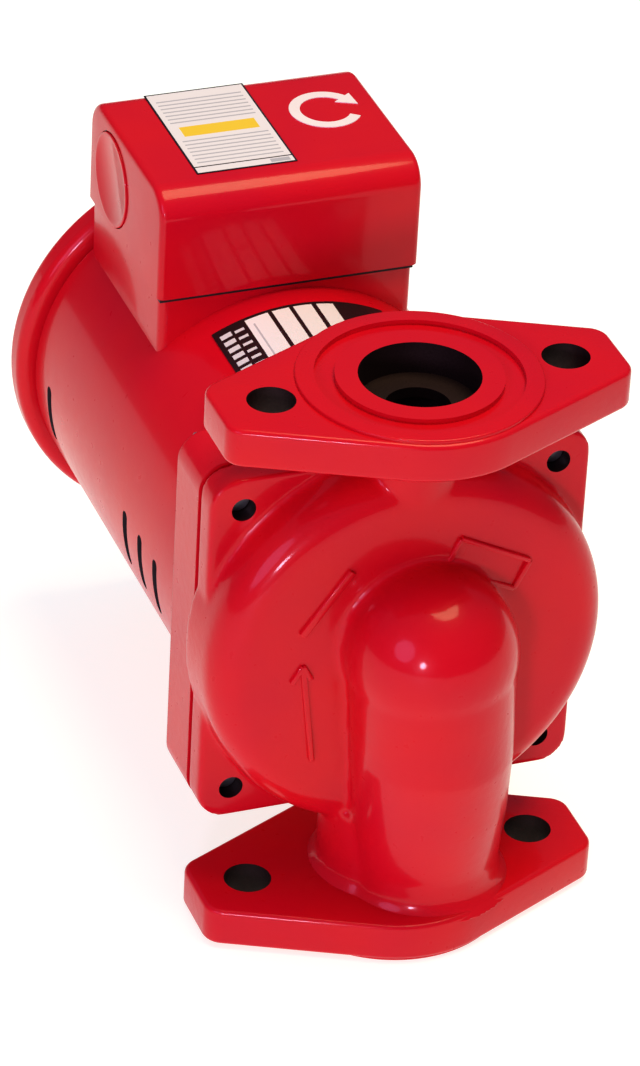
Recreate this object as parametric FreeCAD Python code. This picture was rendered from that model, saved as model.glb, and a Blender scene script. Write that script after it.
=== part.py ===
import FreeCAD, Part
import math
import os

# Circulator pump, millimetres. The origin is the centre of the bottom flange's gasket face.
# +Z runs up the pipe line to the top flange, +Y runs back along the motor shaft, +X is to
# the right seen from the front.

V = FreeCAD.Vector
X_AXIS = V(1, 0, 0)
Y_AXIS = V(0, 1, 0)
Z_AXIS = V(0, 0, 1)

# Overall sizes
FACE_TO_FACE = 162.0
MOTOR_Z = FACE_TO_FACE / 2.0
MOTOR_R = 51.5
MOTOR_WALL = 2.5
MOTOR_IN_R = MOTOR_R - MOTOR_WALL
HOUSING_BACK_Y = 154.5

# Pipe flanges
PORT_R = 15.9
PORT_DEPTH = 9.0
FLANGE_T = 12.0
FLANGE_MID_R = 33.2
FLANGE_CORNER_R = 6.0
FLANGE_CORNER_Y = 7.0
FLANGE_EDGE_R = 1.2
FLANGE_BOLT_R = 6.35
FLANGE_BOLT_X = 40.1
FLANGE_HALF_LENGTH = FLANGE_BOLT_X + 14.9
BOSS_R = 32.0
BOSS_H = 1.0
GROOVE_IN_R = 21.8
GROOVE_OUT_R = 27.1
GROOVE_DEPTH = 1.5

# Volute casing
SCROLL_R = 55.0
SCROLL_FRONT_Y = -8.5
SCROLL_CROWN = 1.5
SCROLL_RIM_R = 9.5
CAVITY_R = 49.0
CAVITY_FRONT_Y = -2.0
CAVITY_RIM_R = 5.0
EYE_R = 13.0
EAR_HALF = MOTOR_R + 1.0
EAR_CORNER_R = 8.0
EAR_FRONT_Y = 6.7
EAR_BACK_Y = 15.5
EAR_HOLE_PITCH = EAR_HALF - 9.0
NECK_Y = 2.0
NECK_R = 11.5
NECK_ROOT_RX = 20.0
NECK_ROOT_RY = 10.0
NECK_ROOT_Z = MOTOR_Z + 40.0
NECK_WAIST_Z = FACE_TO_FACE - 23.0
NECK_FLARE_R = 6.5
THROAT_R = 8.0
THROAT_CONE_Z = FACE_TO_FACE - 16.0
SUCTION_BASE = V(6.5, -8.0, FLANGE_T - BOSS_H)
SUCTION_BASE_R = 20.0
SUCTION_MID = V(3.0, -17.0, MOTOR_Z - 21.0)
SUCTION_MID_R = 21.6
DOME_CENTRE = V(1.0, -17.5, MOTOR_Z + 7.5)
DOME_R = 22.8
ROOT_FLARE = 4.0
STUB_R = 19.5
STUB_TOP_Z = MOTOR_Z - EAR_HALF + 4.5
STUB_GAP = 1.0
PASSAGE_BEND = V(4.6, -17.3, 32.0)
PASSAGE_BEND_RX = 15.0
PASSAGE_BEND_RY = 10.5
PASSAGE_TOP = V(1.5, -20.5, MOTOR_Z)
PASSAGE_TOP_R = 14.3
PASSAGE_MID_Z = MOTOR_Z - 25.0
FRAME_MARK_X = 18.5
FRAME_MARK_Z = MOTOR_Z + 26.3
FRAME_MARK_W = 23.0
FRAME_MARK_H = 10.0
FRAME_MARK_TILT = 27.0
MARK_LINE = 1.3
ARROW_TAIL = (-27.5, MOTOR_Z - 27.0)
ARROW_NECK = (-31.3, MOTOR_Z + 3.0)
ARROW_HEAD = 5.0
RIB_LOW = (-32.0, MOTOR_Z + 13.0)
RIB_HIGH = (-19.0, MOTOR_Z + 30.5)
RIB_W = 2.2

# Motor bracket and its fasteners
GASKET_T = 0.8
GASKET_W = 3.2
BRACKET_FRONT_Y = EAR_BACK_Y + GASKET_T
BRACKET_BACK_Y = BRACKET_FRONT_Y + 16.7
BRACKET_WALL = 5.7
BRACKET_BOWL_R = 42.0
SEAL_HUB_R = 16.0
SEAL_HUB_BACK_Y = 27.0
SLINGER_ROOM_R = 12.0
SPIGOT_R = MOTOR_IN_R - 0.05
SPIGOT_BACK_Y = BRACKET_BACK_Y + 5.0
SPIGOT_IN_R = MOTOR_IN_R - 6.5
DRAIN_R = 2.0
SCREW_R = 3.1
SCREW_TIP_Y = EAR_FRONT_Y + 4.8
SCREW_HEAD_AF = 11.1
SCREW_HEAD_H = 4.4
THREAD_GAP = 0.05
SCREW_GAP = 0.35

# Ball bearings, both the same
BEARING_BORE_R = 6.0
BEARING_OUT_R = 16.0
BEARING_W = 10.0
BALL_COUNT = 7
BALL_R = 0.595 * (BEARING_OUT_R - BEARING_BORE_R) / 2.0
BALL_GAP = 0.1
PITCH_R = (BEARING_BORE_R + BEARING_OUT_R) / 2.0
INNER_LAND_R = PITCH_R - 1.7
OUTER_LAND_R = PITCH_R + 1.7
CAGE_IN_R = PITCH_R - 1.2
CAGE_OUT_R = PITCH_R + 1.2
CAGE_W = 2.0 * BALL_R + 1.65
FRONT_BEARING_Y = BRACKET_BACK_Y
REAR_BEARING_Y = HOUSING_BACK_Y - 13.5
HUB_TUBE_R = BEARING_OUT_R + 4.0
HUB_TUBE_BACK_Y = FRONT_BEARING_Y + BEARING_W + 3.0
CLIP_T = 1.2
CLIP_IN_R = BEARING_OUT_R - 1.8
CLIP_OUT_R = BEARING_OUT_R + 1.0
PRELOAD_T = 1.2

# Shaft and everything that turns with it
SHAFT_TIP_Y = 0.0
NUT_SEAT_Y = 5.0
HUB_BACK_Y = 12.0
THREAD_R = 3.9
INSERT_BORE_R = 4.7
SEAL_SHAFT_R = 5.5
CORE_SHAFT_R = 8.0
FAN_SHAFT_R = 7.0
CORE_SHAFT_END_Y = REAR_BEARING_Y - 17.0
NUT_AF = 11.0
NUT_FRONT_Y = 1.0
INSERT_R = 7.0
IMPELLER_R = 36.0
IMPELLER_HUB_R = 10.0
IMPELLER_FRONT_Y = 0.5
IMPELLER_EYE_Y = -1.2
IMPELLER_EYE_WALL = 2.5
SHROUD_T = 2.0
IMPELLER_BACK_Y = 10.5
VANE_COUNT = 6
VANE_T = 2.0
VANE_IN_R = 14.5
VANE_SWEEP = 62.0
SEAL_FACE_Y = 19.3
SEAL_FACE_GAP = 0.3
CARBON_Y = 16.5
CARBON_IN_R = 6.2
CARBON_R = 9.2
BELLOWS_R = 7.5
SPRING_COIL_R = 8.7
SPRING_WIRE = 1.0
SPRING_TURNS = 2.5
SEAT_IN_R = 6.4
SEAT_R = 9.5
SEAT_T = 4.0
CUP_R = 11.5
CUP_T = 1.0
SLINGER_R = 10.0
SLINGER_Y0 = 28.0
SLINGER_Y1 = 30.2
CORE_Y0 = FRONT_BEARING_Y + 29.0
CORE_Y1 = REAR_BEARING_Y - 29.0
ROTOR_R = 24.5
END_RING_T = 5.0
END_RING_IN_R = 13.0
END_RING_R = 23.5
BAR_COUNT = 22
BAR_R = 1.6
BAR_PITCH_R = 21.0
FAN_Y0 = REAR_BEARING_Y - 14.0
FAN_Y1 = REAR_BEARING_Y - 4.0
FAN_DISC_T = 1.8
FAN_HUB_R = 12.0
FAN_BLADE_IN_R = 18.0
FAN_R = MOTOR_IN_R - 10.0
FAN_BLADES = 9
FAN_BLADE_T = 1.6

# Stator
AIR_GAP = 0.4
SLOT_COUNT = 18
SLOT_MOUTH_W = 1.6
SLOT_W = 4.2
SLOT_IN_R = 27.0
SLOT_OUT_R = 40.8
LINER = 0.15
WINDING_IN_R = 27.2
WINDING_R = 42.0
WINDING_OVERHANG = 12.0
WINDING_EDGE_R = 3.5
PROTECTOR_W = 14.0
PROTECTOR_T = 4.0
PROTECTOR_H = 7.0
PROTECTOR_RADIUS = 31.0

# Motor housing with its terminal pedestal
BAND_R = 1.0
PEDESTAL_HALF_X = 36.2
PEDESTAL_Y0 = HOUSING_BACK_Y - 58.0
PEDESTAL_Y1 = HOUSING_BACK_Y
PEDESTAL_TOP_Z = MOTOR_Z + MOTOR_R + 1.1
PEDESTAL_WALL = 3.2
GROUND_X = PEDESTAL_HALF_X - 6.9
GROUND_Y = PEDESTAL_Y0 + 8.0
GROUND_R = 2.2
GROUND_HEAD_AF = 6.4
GROUND_HEAD_H = 2.6
GROUND_ROOM = 4.2
PEDESTAL_LIFT = 0.1
PEDESTAL_FLOOR_Z = MOTOR_Z + PEDESTAL_LIFT + math.sqrt(MOTOR_R ** 2 - (GROUND_X - GROUND_ROOM) ** 2)
PEDESTAL_FOOT_Z = PEDESTAL_TOP_Z - 18.6
VENT_W = 3.6
VENT_Z0 = MOTOR_Z - 15.0
VENT_Z1 = MOTOR_Z + 2.0
FRONT_VENTS_Y = (BRACKET_BACK_Y + 17.5, BRACKET_BACK_Y + 30.0, BRACKET_BACK_Y + 42.5)
REAR_VENT_Y = HOUSING_BACK_Y - 12.5
PAD_TOP_Z = PEDESTAL_TOP_Z + 0.4
GROMMET_Y = PEDESTAL_Y0 + 21.0
GROMMET_HOLE_R = 7.0
GROMMET_BORE_R = 5.2
GROMMET_LIP_R = 8.4
GROMMET_LIP_T = 1.2
GROMMET_SEAT_Z = PEDESTAL_TOP_Z
GROMMET_WELL_R = 9.5
GROMMET_GAP = 0.3
GROMMET_WELL_Z = MOTOR_Z + MOTOR_IN_R

# Rear end bell
BELL_FRONT_Y = HOUSING_BACK_Y + 1.5
BELL_BACK_Y = BELL_FRONT_Y + 9.5
BELL_R = MOTOR_R + 4.5
BELL_EDGE_R = 3.0
BELL_WALL = 3.5
BELL_RING_IN_R = MOTOR_R + 0.5
BELL_SPIGOT_Y = HOUSING_BACK_Y - 4.5
BELL_HUB_Y = REAR_BEARING_Y - 0.5
BELL_VENT_COUNT = 12
BELL_VENT_R0 = 26.0
BELL_VENT_R1 = 41.0
BELL_VENT_W = 3.8
BOLT_PITCH_R = MOTOR_IN_R - 3.5
BOLT_R = 2.0
BOLT_HOLE_R = 2.3
BOLT_TIP_Y = BRACKET_BACK_Y - 8.5
BOLT_HEAD_AF = 7.9
BOLT_HEAD_H = 3.2
BOLT_ANGLE = 33.0

# Terminal box
COVER_GASKET_T = 1.6
COVER_HALF_X = PEDESTAL_HALF_X + 1.0
COVER_Y0 = PEDESTAL_Y0 - 1.5
COVER_Y1 = PEDESTAL_Y1 + 1.0
COVER_Z0 = PEDESTAL_TOP_Z + COVER_GASKET_T
COVER_Z1 = COVER_Z0 + 31.4
COVER_WALL = 1.6
COVER_BEND_R = 8.5
COVER_EDGE_R = 1.2
KNOCKOUT_R = 13.5
KNOCKOUT_Y = COVER_Y0 + 41.0
KNOCKOUT_Z = COVER_Z0 + 15.0
KNOCKOUT_RELIEF = 0.5
LUG_X = PEDESTAL_HALF_X - 10.2
LUG_W = 8.0
LUG_T = 4.5
LUG_TOP_Z = COVER_Z0 + 10.8
COVER_SCREW_Z = COVER_Z0 + 5.3
COVER_SCREW_R = 1.9
COVER_SCREW_HEAD_R = 3.6
COVER_SCREW_HEAD_H = 2.2
BLOCK_HALF_X = 17.0
BLOCK_Y0 = PEDESTAL_Y0 + PEDESTAL_WALL + 0.3
BLOCK_Y1 = BLOCK_Y0 + 8.0
BLOCK_TOP_Z = COVER_Z0 + 10.8
BLOCK_POLES = 4
BLOCK_FENCE_T = 1.4
BLOCK_FENCE_H = 3.5
TERMINAL_R = 2.4
TERMINAL_H = 2.0
CAPACITOR_R = 14.0
CAPACITOR_X0 = 15.2 - PEDESTAL_HALF_X
CAPACITOR_X1 = PEDESTAL_HALF_X - 5.2
CAPACITOR_Y = PEDESTAL_Y0 + 37.0
STRAP_T = 0.8
STRAP_W = 12.0
STRAP_X = 6.0
WIRE_R = 1.0
WIRE_PITCH = 3.0
WIRE_BEND_R = 5.0
WIRE_Z = COVER_Z0 + 5.8
LEAD_BEND_R = 3.5
LEAD_Z = COVER_Z0 + 7.3

# Plates and labels
PLATE_T = 0.3
PLATE_ANGLE = 28.0
PLATE_Y0 = BRACKET_BACK_Y + 17.0
PLATE_Y1 = PLATE_Y0 + 38.0
LABEL_T = 0.2
LABEL_X0 = -24.0
LABEL_X1 = 4.5
LABEL_Y0 = COVER_Y0 + 10.0
LABEL_Y1 = COVER_Y1 - 5.5
MARK_X = 21.5
MARK_Y = COVER_Y0 + 35.0
MARK_R = 10.0
MARK_BAND = 3.0
MARK_GAP_ANGLE = 70.0


def save(name, shape):
    shape.exportStep("parts/" + name + ".step")


def box(x0, x1, y0, y1, z0, z1):
    return Part.makeBox(x1 - x0, y1 - y0, z1 - z0, V(x0, y0, z0))


def rod(radius, y0, y1, x=0.0, z=MOTOR_Z):
    # Round bar along the shaft direction.
    return Part.makeCylinder(radius, y1 - y0, V(x, y0, z), Y_AXIS)


def ring(outer, inner, y0, y1):
    return rod(outer, y0, y1).cut(rod(inner, y0, y1))


def post(radius, z0, z1, x=0.0, y=0.0):
    return Part.makeCylinder(radius, z1 - z0, V(x, y, z0), Z_AXIS)


def on_shaft(shape):
    # Lift a shape made about the Y axis to the motor axis.
    shape.translate(V(0, 0, MOTOR_Z))
    return shape


def around(shape, angle):
    # Copy turned about the motor axis.
    turned = shape.copy()
    turned.rotate(V(0, 0, MOTOR_Z), Y_AXIS, angle)
    return turned


def hex_bar(across_flats, y0, y1, x=0.0, z=MOTOR_Z):
    radius = across_flats / math.sqrt(3.0)
    corners = []
    for i in range(7):
        angle = math.radians(60.0 * i)
        corners.append(V(x + radius * math.cos(angle), y0, z + radius * math.sin(angle)))
    return Part.Face(Part.makePolygon(corners)).extrude(V(0, y1 - y0, 0))


def outline(circles, z):
    # Closed outline stretched round circles (x, y, r) given anticlockwise.
    count = len(circles)
    normals = []
    for i in range(count):
        ax, ay, ar = circles[i]
        bx, by, br = circles[(i + 1) % count]
        span = math.hypot(bx - ax, by - ay)
        heading = math.atan2(by - ay, bx - ax)
        normals.append(heading - math.acos((ar - br) / span))
    edges = []
    for i in range(count):
        x, y, r = circles[i]
        start = normals[i - 1]
        end = normals[i]
        while end < start:
            end += 2.0 * math.pi
        middle = (start + end) / 2.0
        p = [V(x + r * math.cos(a), y + r * math.sin(a), z) for a in (start, middle, end)]
        edges.append(Part.Arc(p[0], p[1], p[2]).toShape())
        nx, ny, nr = circles[(i + 1) % count]
        q = V(nx + nr * math.cos(end), ny + nr * math.sin(end), z)
        if (q - p[2]).Length > 1e-6:
            edges.append(Part.makeLine(p[2], q))
    return Part.Face(Part.Wire(edges))


def square_plate(half, corner, y0, y1):
    # Square plate with rounded corners, upright across the shaft.
    inset = half - corner
    circles = [(-inset, -inset, corner), (inset, -inset, corner)]
    circles += [(inset, inset, corner), (-inset, inset, corner)]
    face = outline(circles, 0.0)
    plate = face.extrude(V(0, 0, y1 - y0))
    plate.rotate(V(0, 0, 0), X_AXIS, -90.0)
    plate.translate(V(0, y0, MOTOR_Z))
    return plate


def turned_about_y(points):
    # Solid of revolution about the motor axis from (radius, y) corners.
    corners = [V(r, y, 0) for r, y in points]
    corners.append(corners[0])
    return on_shaft(Part.Face(Part.makePolygon(corners)).revolve(V(0, 0, 0), Y_AXIS, 360.0))


def flare(radius, spread, z, up, x=0.0, y=0.0):
    # Concave root fillet round an upright pipe, thickest at z.
    sign = 1.0 if up else -1.0
    dip = spread * (1.0 - math.sqrt(0.5))
    foot = V(radius + spread, 0, z)
    mid = V(radius + dip, 0, z + sign * dip)
    head = V(radius, 0, z + sign * spread)
    axis_high = V(0, 0, z + sign * spread)
    axis_low = V(0, 0, z)
    edges = [Part.Arc(foot, mid, head).toShape()]
    edges.append(Part.makeLine(head, axis_high))
    edges.append(Part.makeLine(axis_high, axis_low))
    edges.append(Part.makeLine(axis_low, foot))
    solid = Part.Face(Part.Wire(edges)).revolve(V(0, 0, 0), Z_AXIS, 360.0)
    solid.translate(V(x, y, 0))
    return solid


# ---------------------------------------------------------------- volute casing

def flange_blank():
    # Bottom flange with its raised boss; the top one is its mirror image.
    end_x = FLANGE_HALF_LENGTH - FLANGE_CORNER_R
    circles = [(0.0, 0.0, FLANGE_MID_R)]
    circles.append((end_x, -FLANGE_CORNER_Y, FLANGE_CORNER_R))
    circles.append((end_x, FLANGE_CORNER_Y, FLANGE_CORNER_R))
    circles.append((0.0, 0.0, FLANGE_MID_R))
    circles.append((-end_x, FLANGE_CORNER_Y, FLANGE_CORNER_R))
    circles.append((-end_x, -FLANGE_CORNER_Y, FLANGE_CORNER_R))
    plate = flange_outline(circles).extrude(V(0, 0, FLANGE_T - BOSS_H))
    rims = [e for e in plate.Edges if abs(e.BoundBox.ZMax - e.BoundBox.ZMin) < 0.01]
    plate = plate.makeFillet(FLANGE_EDGE_R, rims)
    boss = post(BOSS_R, 0.0, BOSS_H + FLANGE_EDGE_R)
    return plate.fuse(boss)


def flange_outline(circles):
    # The middle circle touches both long sides, so its arcs appear twice.
    lower = outline([circles[0], circles[1], circles[2]], BOSS_H)
    upper = outline([circles[3], circles[4], circles[5]], BOSS_H)
    return lower.fuse(upper).removeSplitter().Faces[0]


def flange_cuts():
    # Gasket groove and the two bolt holes, seen from the bottom face.
    low = -FLANGE_EDGE_R
    cuts = [post(GROOVE_OUT_R, low, GROOVE_DEPTH).cut(post(GROOVE_IN_R, low, GROOVE_DEPTH))]
    for side in (-1.0, 1.0):
        cuts.append(post(FLANGE_BOLT_R, low, FLANGE_T + FLANGE_EDGE_R, side * FLANGE_BOLT_X))
    return cuts


def to_top(shape):
    return shape.mirror(V(0, 0, MOTOR_Z), Z_AXIS)


def scroll_blank():
    # Round shallow bowl with a crowned face and a soft rim.
    rim_start = V(SCROLL_R - SCROLL_RIM_R, SCROLL_FRONT_Y, 0)
    rim_end = V(SCROLL_R, SCROLL_FRONT_Y + SCROLL_RIM_R, 0)
    bulge = SCROLL_RIM_R * math.sqrt(0.5)
    rim_mid = V(rim_start.x + bulge, rim_end.y - bulge, 0)
    crown = V(0, SCROLL_FRONT_Y - SCROLL_CROWN, 0)
    crown_mid = V(rim_start.x / 2.0, SCROLL_FRONT_Y - 0.75 * SCROLL_CROWN, 0)
    back_rim = V(SCROLL_R, EAR_BACK_Y, 0)
    back_centre = V(0, EAR_BACK_Y, 0)
    edges = [Part.Arc(crown, crown_mid, rim_start).toShape()]
    edges.append(Part.Arc(rim_start, rim_mid, rim_end).toShape())
    edges.append(Part.makeLine(rim_end, back_rim))
    edges.append(Part.makeLine(back_rim, back_centre))
    edges.append(Part.makeLine(back_centre, crown))
    return on_shaft(Part.Face(Part.Wire(edges)).revolve(V(0, 0, 0), Y_AXIS, 360.0))


def level_circle(centre, radius):
    return Part.Wire([Part.Circle(centre, Z_AXIS, radius).toShape()])


def level_ellipse(centre, rx, ry):
    oval = Part.Ellipse(centre, rx, ry)
    return Part.Wire([oval.toShape()])


def neck_blank():
    # Discharge neck: wide where it leaves the bowl, waisted, flared again under the flange.
    flange_z = FACE_TO_FACE - FLANGE_T + BOSS_H
    middle_z = (NECK_ROOT_Z + NECK_WAIST_Z) / 2.0
    middle_rx = NECK_R + 0.3 * (NECK_ROOT_RX - NECK_R)
    sections = [level_ellipse(V(0, NECK_Y, NECK_ROOT_Z), NECK_ROOT_RX, NECK_ROOT_RY)]
    sections.append(level_ellipse(V(0, NECK_Y, middle_z), middle_rx, NECK_R))
    sections.append(level_circle(V(0, NECK_Y, NECK_WAIST_Z), NECK_R))
    root = Part.makeLoft(sections, True)
    stem = post(NECK_R, NECK_WAIST_Z, flange_z, 0.0, NECK_Y)
    return [root, stem, flare(NECK_R, NECK_FLARE_R, flange_z, False, 0.0, NECK_Y)]


def suction_blank():
    # Pipe rising in front of the bowl, ending in a round elbow that faces the eye.
    sections = [level_circle(SUCTION_BASE, SUCTION_BASE_R)]
    sections.append(level_circle(SUCTION_MID, SUCTION_MID_R))
    sections.append(level_circle(DOME_CENTRE, SUCTION_MID_R + 0.4 * (DOME_R - SUCTION_MID_R)))
    pipe = Part.makeLoft(sections, True)
    dome = Part.makeSphere(DOME_R, DOME_CENTRE)
    elbow = rod(DOME_R, DOME_CENTRE.y, CAVITY_FRONT_Y, DOME_CENTRE.x, DOME_CENTRE.z)
    root_z = FLANGE_T - BOSS_H
    root = flare(SUCTION_BASE_R - 0.2, ROOT_FLARE, FLANGE_T, True, SUCTION_BASE.x, SUCTION_BASE.y)
    stub = post(STUB_R, root_z, STUB_TOP_Z)
    relief_z = MOTOR_Z - EAR_HALF - STUB_GAP
    stub = stub.cut(box(-STUB_R, STUB_R, EAR_BACK_Y, STUB_R + STUB_GAP, relief_z, STUB_TOP_Z + STUB_GAP))
    stub_root = flare(STUB_R, ROOT_FLARE, FLANGE_T, True)
    return [pipe, dome, elbow, root, stub, stub_root]


def water_way():
    # Everything hollow: port, suction passage, eye, volute cavity, throat and outlet.
    inlet = post(PORT_R, -BOSS_H, PORT_DEPTH)
    middle = V((PASSAGE_BEND.x + PASSAGE_TOP.x) / 2.0, PASSAGE_TOP.y, PASSAGE_MID_Z)
    sections = [level_circle(V(0, 0, PORT_DEPTH), PORT_R)]
    sections.append(level_ellipse(PASSAGE_BEND, PASSAGE_BEND_RX, PASSAGE_BEND_RY))
    sections.append(level_ellipse(middle, PASSAGE_TOP_R + 0.1, PASSAGE_TOP_R))
    sections.append(level_circle(PASSAGE_TOP, PASSAGE_TOP_R))
    passage = Part.makeLoft(sections, True, True)
    bend = Part.makeSphere(PASSAGE_TOP_R, PASSAGE_TOP)
    eye = rod(EYE_R, PASSAGE_TOP.y, CAVITY_FRONT_Y + 1.0)
    inner = CAVITY_R - CAVITY_RIM_R
    cavity = rod(CAVITY_R, CAVITY_FRONT_Y, EAR_BACK_Y + 1.0)
    front = [e for e in cavity.Edges if abs(e.BoundBox.YMax - CAVITY_FRONT_Y) < 0.01]
    cavity = cavity.makeFillet(CAVITY_R - inner, front)
    outlet_z = FACE_TO_FACE - PORT_DEPTH
    throat = post(THROAT_R, MOTOR_Z + inner - CAVITY_RIM_R, outlet_z, 0.0, NECK_Y)
    cone_h = outlet_z - THROAT_CONE_Z
    small = level_circle(V(0, NECK_Y, THROAT_CONE_Z), THROAT_R)
    large = level_circle(V(0, 0, outlet_z), PORT_R)
    cone = Part.makeLoft([small, large], True)
    outlet = post(PORT_R, outlet_z, FACE_TO_FACE + cone_h)
    return [inlet, passage, bend, eye, cavity, throat, cone, outlet]


def raised_bar(start, end, width):
    # Straight bar standing proud of the bowl's face between two (x, z) points.
    dx = end[0] - start[0]
    dz = end[1] - start[1]
    face = SCROLL_FRONT_Y - SCROLL_CROWN
    bar = box(-width / 2.0, width / 2.0, face, EAR_FRONT_Y - CAVITY_RIM_R, 0.0, math.hypot(dx, dz))
    bar.rotate(V(0, 0, 0), Y_AXIS, math.degrees(math.atan2(dx, dz)))
    bar.translate(V(start[0], 0, start[1]))
    return bar


def cast_marks():
    # Blank raised frame, a raised flow arrow and a short rib on the bowl's face.
    half_w = (FRAME_MARK_W - MARK_LINE) / 2.0
    half_h = (FRAME_MARK_H - MARK_LINE) / 2.0
    marks = []
    for side in (-1.0, 1.0):
        marks.append(raised_bar((-half_w, side * half_h), (half_w, side * half_h), MARK_LINE))
        marks.append(raised_bar((side * half_w, -half_h), (side * half_w, half_h), MARK_LINE))
    for mark in marks:
        mark.rotate(V(0, 0, 0), Y_AXIS, FRAME_MARK_TILT)
        mark.translate(V(FRAME_MARK_X, 0, FRAME_MARK_Z))
    marks.append(raised_bar(ARROW_TAIL, ARROW_NECK, MARK_LINE))
    for side in (-1.0, 1.0):
        barb = (ARROW_NECK[0] + side * ARROW_HEAD / 2.0, ARROW_NECK[1] - ARROW_HEAD)
        marks.append(raised_bar(barb, ARROW_NECK, MARK_LINE))
    marks.append(raised_bar(RIB_LOW, RIB_HIGH, RIB_W))
    return marks


def volute_casing():
    bottom = flange_blank()
    solids = [to_top(bottom), scroll_blank()]
    solids += neck_blank()
    solids.append(square_plate(EAR_HALF, EAR_CORNER_R, EAR_FRONT_Y, EAR_BACK_Y))
    solids += suction_blank()
    solids += cast_marks()
    casing = bottom.fuse(solids)
    cuts = water_way()
    groove_and_holes = flange_cuts()
    cuts += groove_and_holes
    cuts += [to_top(c) for c in groove_and_holes]
    for sx in (-1.0, 1.0):
        for sz in (-1.0, 1.0):
            x = sx * EAR_HOLE_PITCH
            z = MOTOR_Z + sz * EAR_HOLE_PITCH
            cuts.append(rod(SCREW_R + THREAD_GAP, EAR_FRONT_Y - 1.0, EAR_BACK_Y + 1.0, x, z))
            cuts.append(rod(SCREW_R + THREAD_GAP, SCROLL_FRONT_Y, EAR_BACK_Y, x, z))
    return casing.cut(cuts).removeSplitter()


# ---------------------------------------------------------------- bracket group

def corner_places():
    places = []
    for sx in (-1.0, 1.0):
        for sz in (-1.0, 1.0):
            places.append((sx * EAR_HOLE_PITCH, MOTOR_Z + sz * EAR_HOLE_PITCH))
    return places


def bolt_places():
    places = []
    for quadrant in (BOLT_ANGLE, 180.0 - BOLT_ANGLE, 180.0 + BOLT_ANGLE, -BOLT_ANGLE):
        a = math.radians(quadrant)
        places.append((BOLT_PITCH_R * math.cos(a), MOTOR_Z + BOLT_PITCH_R * math.sin(a)))
    return places


def casing_gasket():
    return ring(CAVITY_R + GASKET_W, CAVITY_R, EAR_BACK_Y, BRACKET_FRONT_Y)


def motor_bracket():
    # Square plate closing the bowl, with a seal hub, a bearing tube and a rear spigot.
    body = square_plate(EAR_HALF, EAR_CORNER_R, BRACKET_FRONT_Y, BRACKET_BACK_Y)
    body = body.fuse(rod(SPIGOT_R, BRACKET_BACK_Y, SPIGOT_BACK_Y))
    body = body.cut(rod(BRACKET_BOWL_R, BRACKET_FRONT_Y + BRACKET_WALL, SPIGOT_BACK_Y))
    wall_y = BRACKET_FRONT_Y + BRACKET_WALL
    body = body.fuse(rod(HUB_TUBE_R, wall_y, HUB_TUBE_BACK_Y))
    cuts = [rod(CUP_R, BRACKET_FRONT_Y, SEAL_FACE_Y + SEAT_T + CUP_T)]
    cuts.append(rod(SEAT_IN_R + CUP_T, BRACKET_FRONT_Y, SEAL_HUB_BACK_Y))
    cuts.append(rod(SLINGER_ROOM_R, SEAL_HUB_BACK_Y, FRONT_BEARING_Y))
    cuts.append(rod(BEARING_OUT_R, FRONT_BEARING_Y, HUB_TUBE_BACK_Y))
    clip_y = FRONT_BEARING_Y + BEARING_W
    cuts.append(rod(CLIP_OUT_R, clip_y, clip_y + CLIP_T))
    slinger_y = (SEAL_HUB_BACK_Y + FRONT_BEARING_Y) / 2.0
    cuts.append(post(DRAIN_R, MOTOR_Z - HUB_TUBE_R - 1.0, MOTOR_Z, 0.0, slinger_y))
    drain_low = MOTOR_Z - EAR_HALF - 1.0
    cuts.append(post(DRAIN_R, drain_low, MOTOR_Z - BRACKET_BOWL_R + 1.0, 0.0, slinger_y))
    for x, z in corner_places():
        cuts.append(rod(SCREW_R + SCREW_GAP, BRACKET_FRONT_Y - 1.0, BRACKET_BACK_Y + 1.0, x, z))
    for x, z in bolt_places():
        cuts.append(rod(BOLT_R + THREAD_GAP, BOLT_TIP_Y - 1.0, SPIGOT_BACK_Y + 1.0, x, z))
    return body.cut(cuts).removeSplitter()


def bracket_screws():
    screws = []
    for x, z in corner_places():
        shank = rod(SCREW_R, SCREW_TIP_Y, BRACKET_BACK_Y, x, z)
        head = hex_bar(SCREW_HEAD_AF, BRACKET_BACK_Y, BRACKET_BACK_Y + SCREW_HEAD_H, x, z)
        screws.append(shank.fuse(head).removeSplitter())
    return Part.makeCompound(screws)


def seal_seat():
    return ring(SEAT_R, SEAT_IN_R, SEAL_FACE_Y, SEAL_FACE_Y + SEAT_T)


def seal_seat_cup():
    sleeve = ring(CUP_R, SEAT_R, SEAL_FACE_Y, SEAL_FACE_Y + SEAT_T)
    floor_y = SEAL_FACE_Y + SEAT_T
    floor = ring(CUP_R, SEAT_IN_R + CUP_T, floor_y, floor_y + CUP_T)
    return sleeve.fuse(floor).removeSplitter()


def bearing_retaining_ring():
    y0 = FRONT_BEARING_Y + BEARING_W
    clip = ring(CLIP_OUT_R, CLIP_IN_R, y0, y0 + CLIP_T)
    gap = box(-CLIP_T * 2.0, CLIP_T * 2.0, y0 - 1.0, y0 + CLIP_T + 1.0, MOTOR_Z - CLIP_OUT_R - 1.0, MOTOR_Z)
    return clip.cut(gap)


# ---------------------------------------------------------------- ball bearings

def race_groove(y0):
    groove_r = BALL_R + BALL_GAP
    groove = Part.makeTorus(PITCH_R, groove_r, V(0, 0, 0), Y_AXIS)
    groove.translate(V(0, y0 + BEARING_W / 2.0, MOTOR_Z))
    return groove


def outer_race(y0):
    return ring(BEARING_OUT_R, OUTER_LAND_R, y0, y0 + BEARING_W).cut(race_groove(y0))


def inner_race(y0):
    return ring(INNER_LAND_R, BEARING_BORE_R, y0, y0 + BEARING_W).cut(race_groove(y0))


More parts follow.
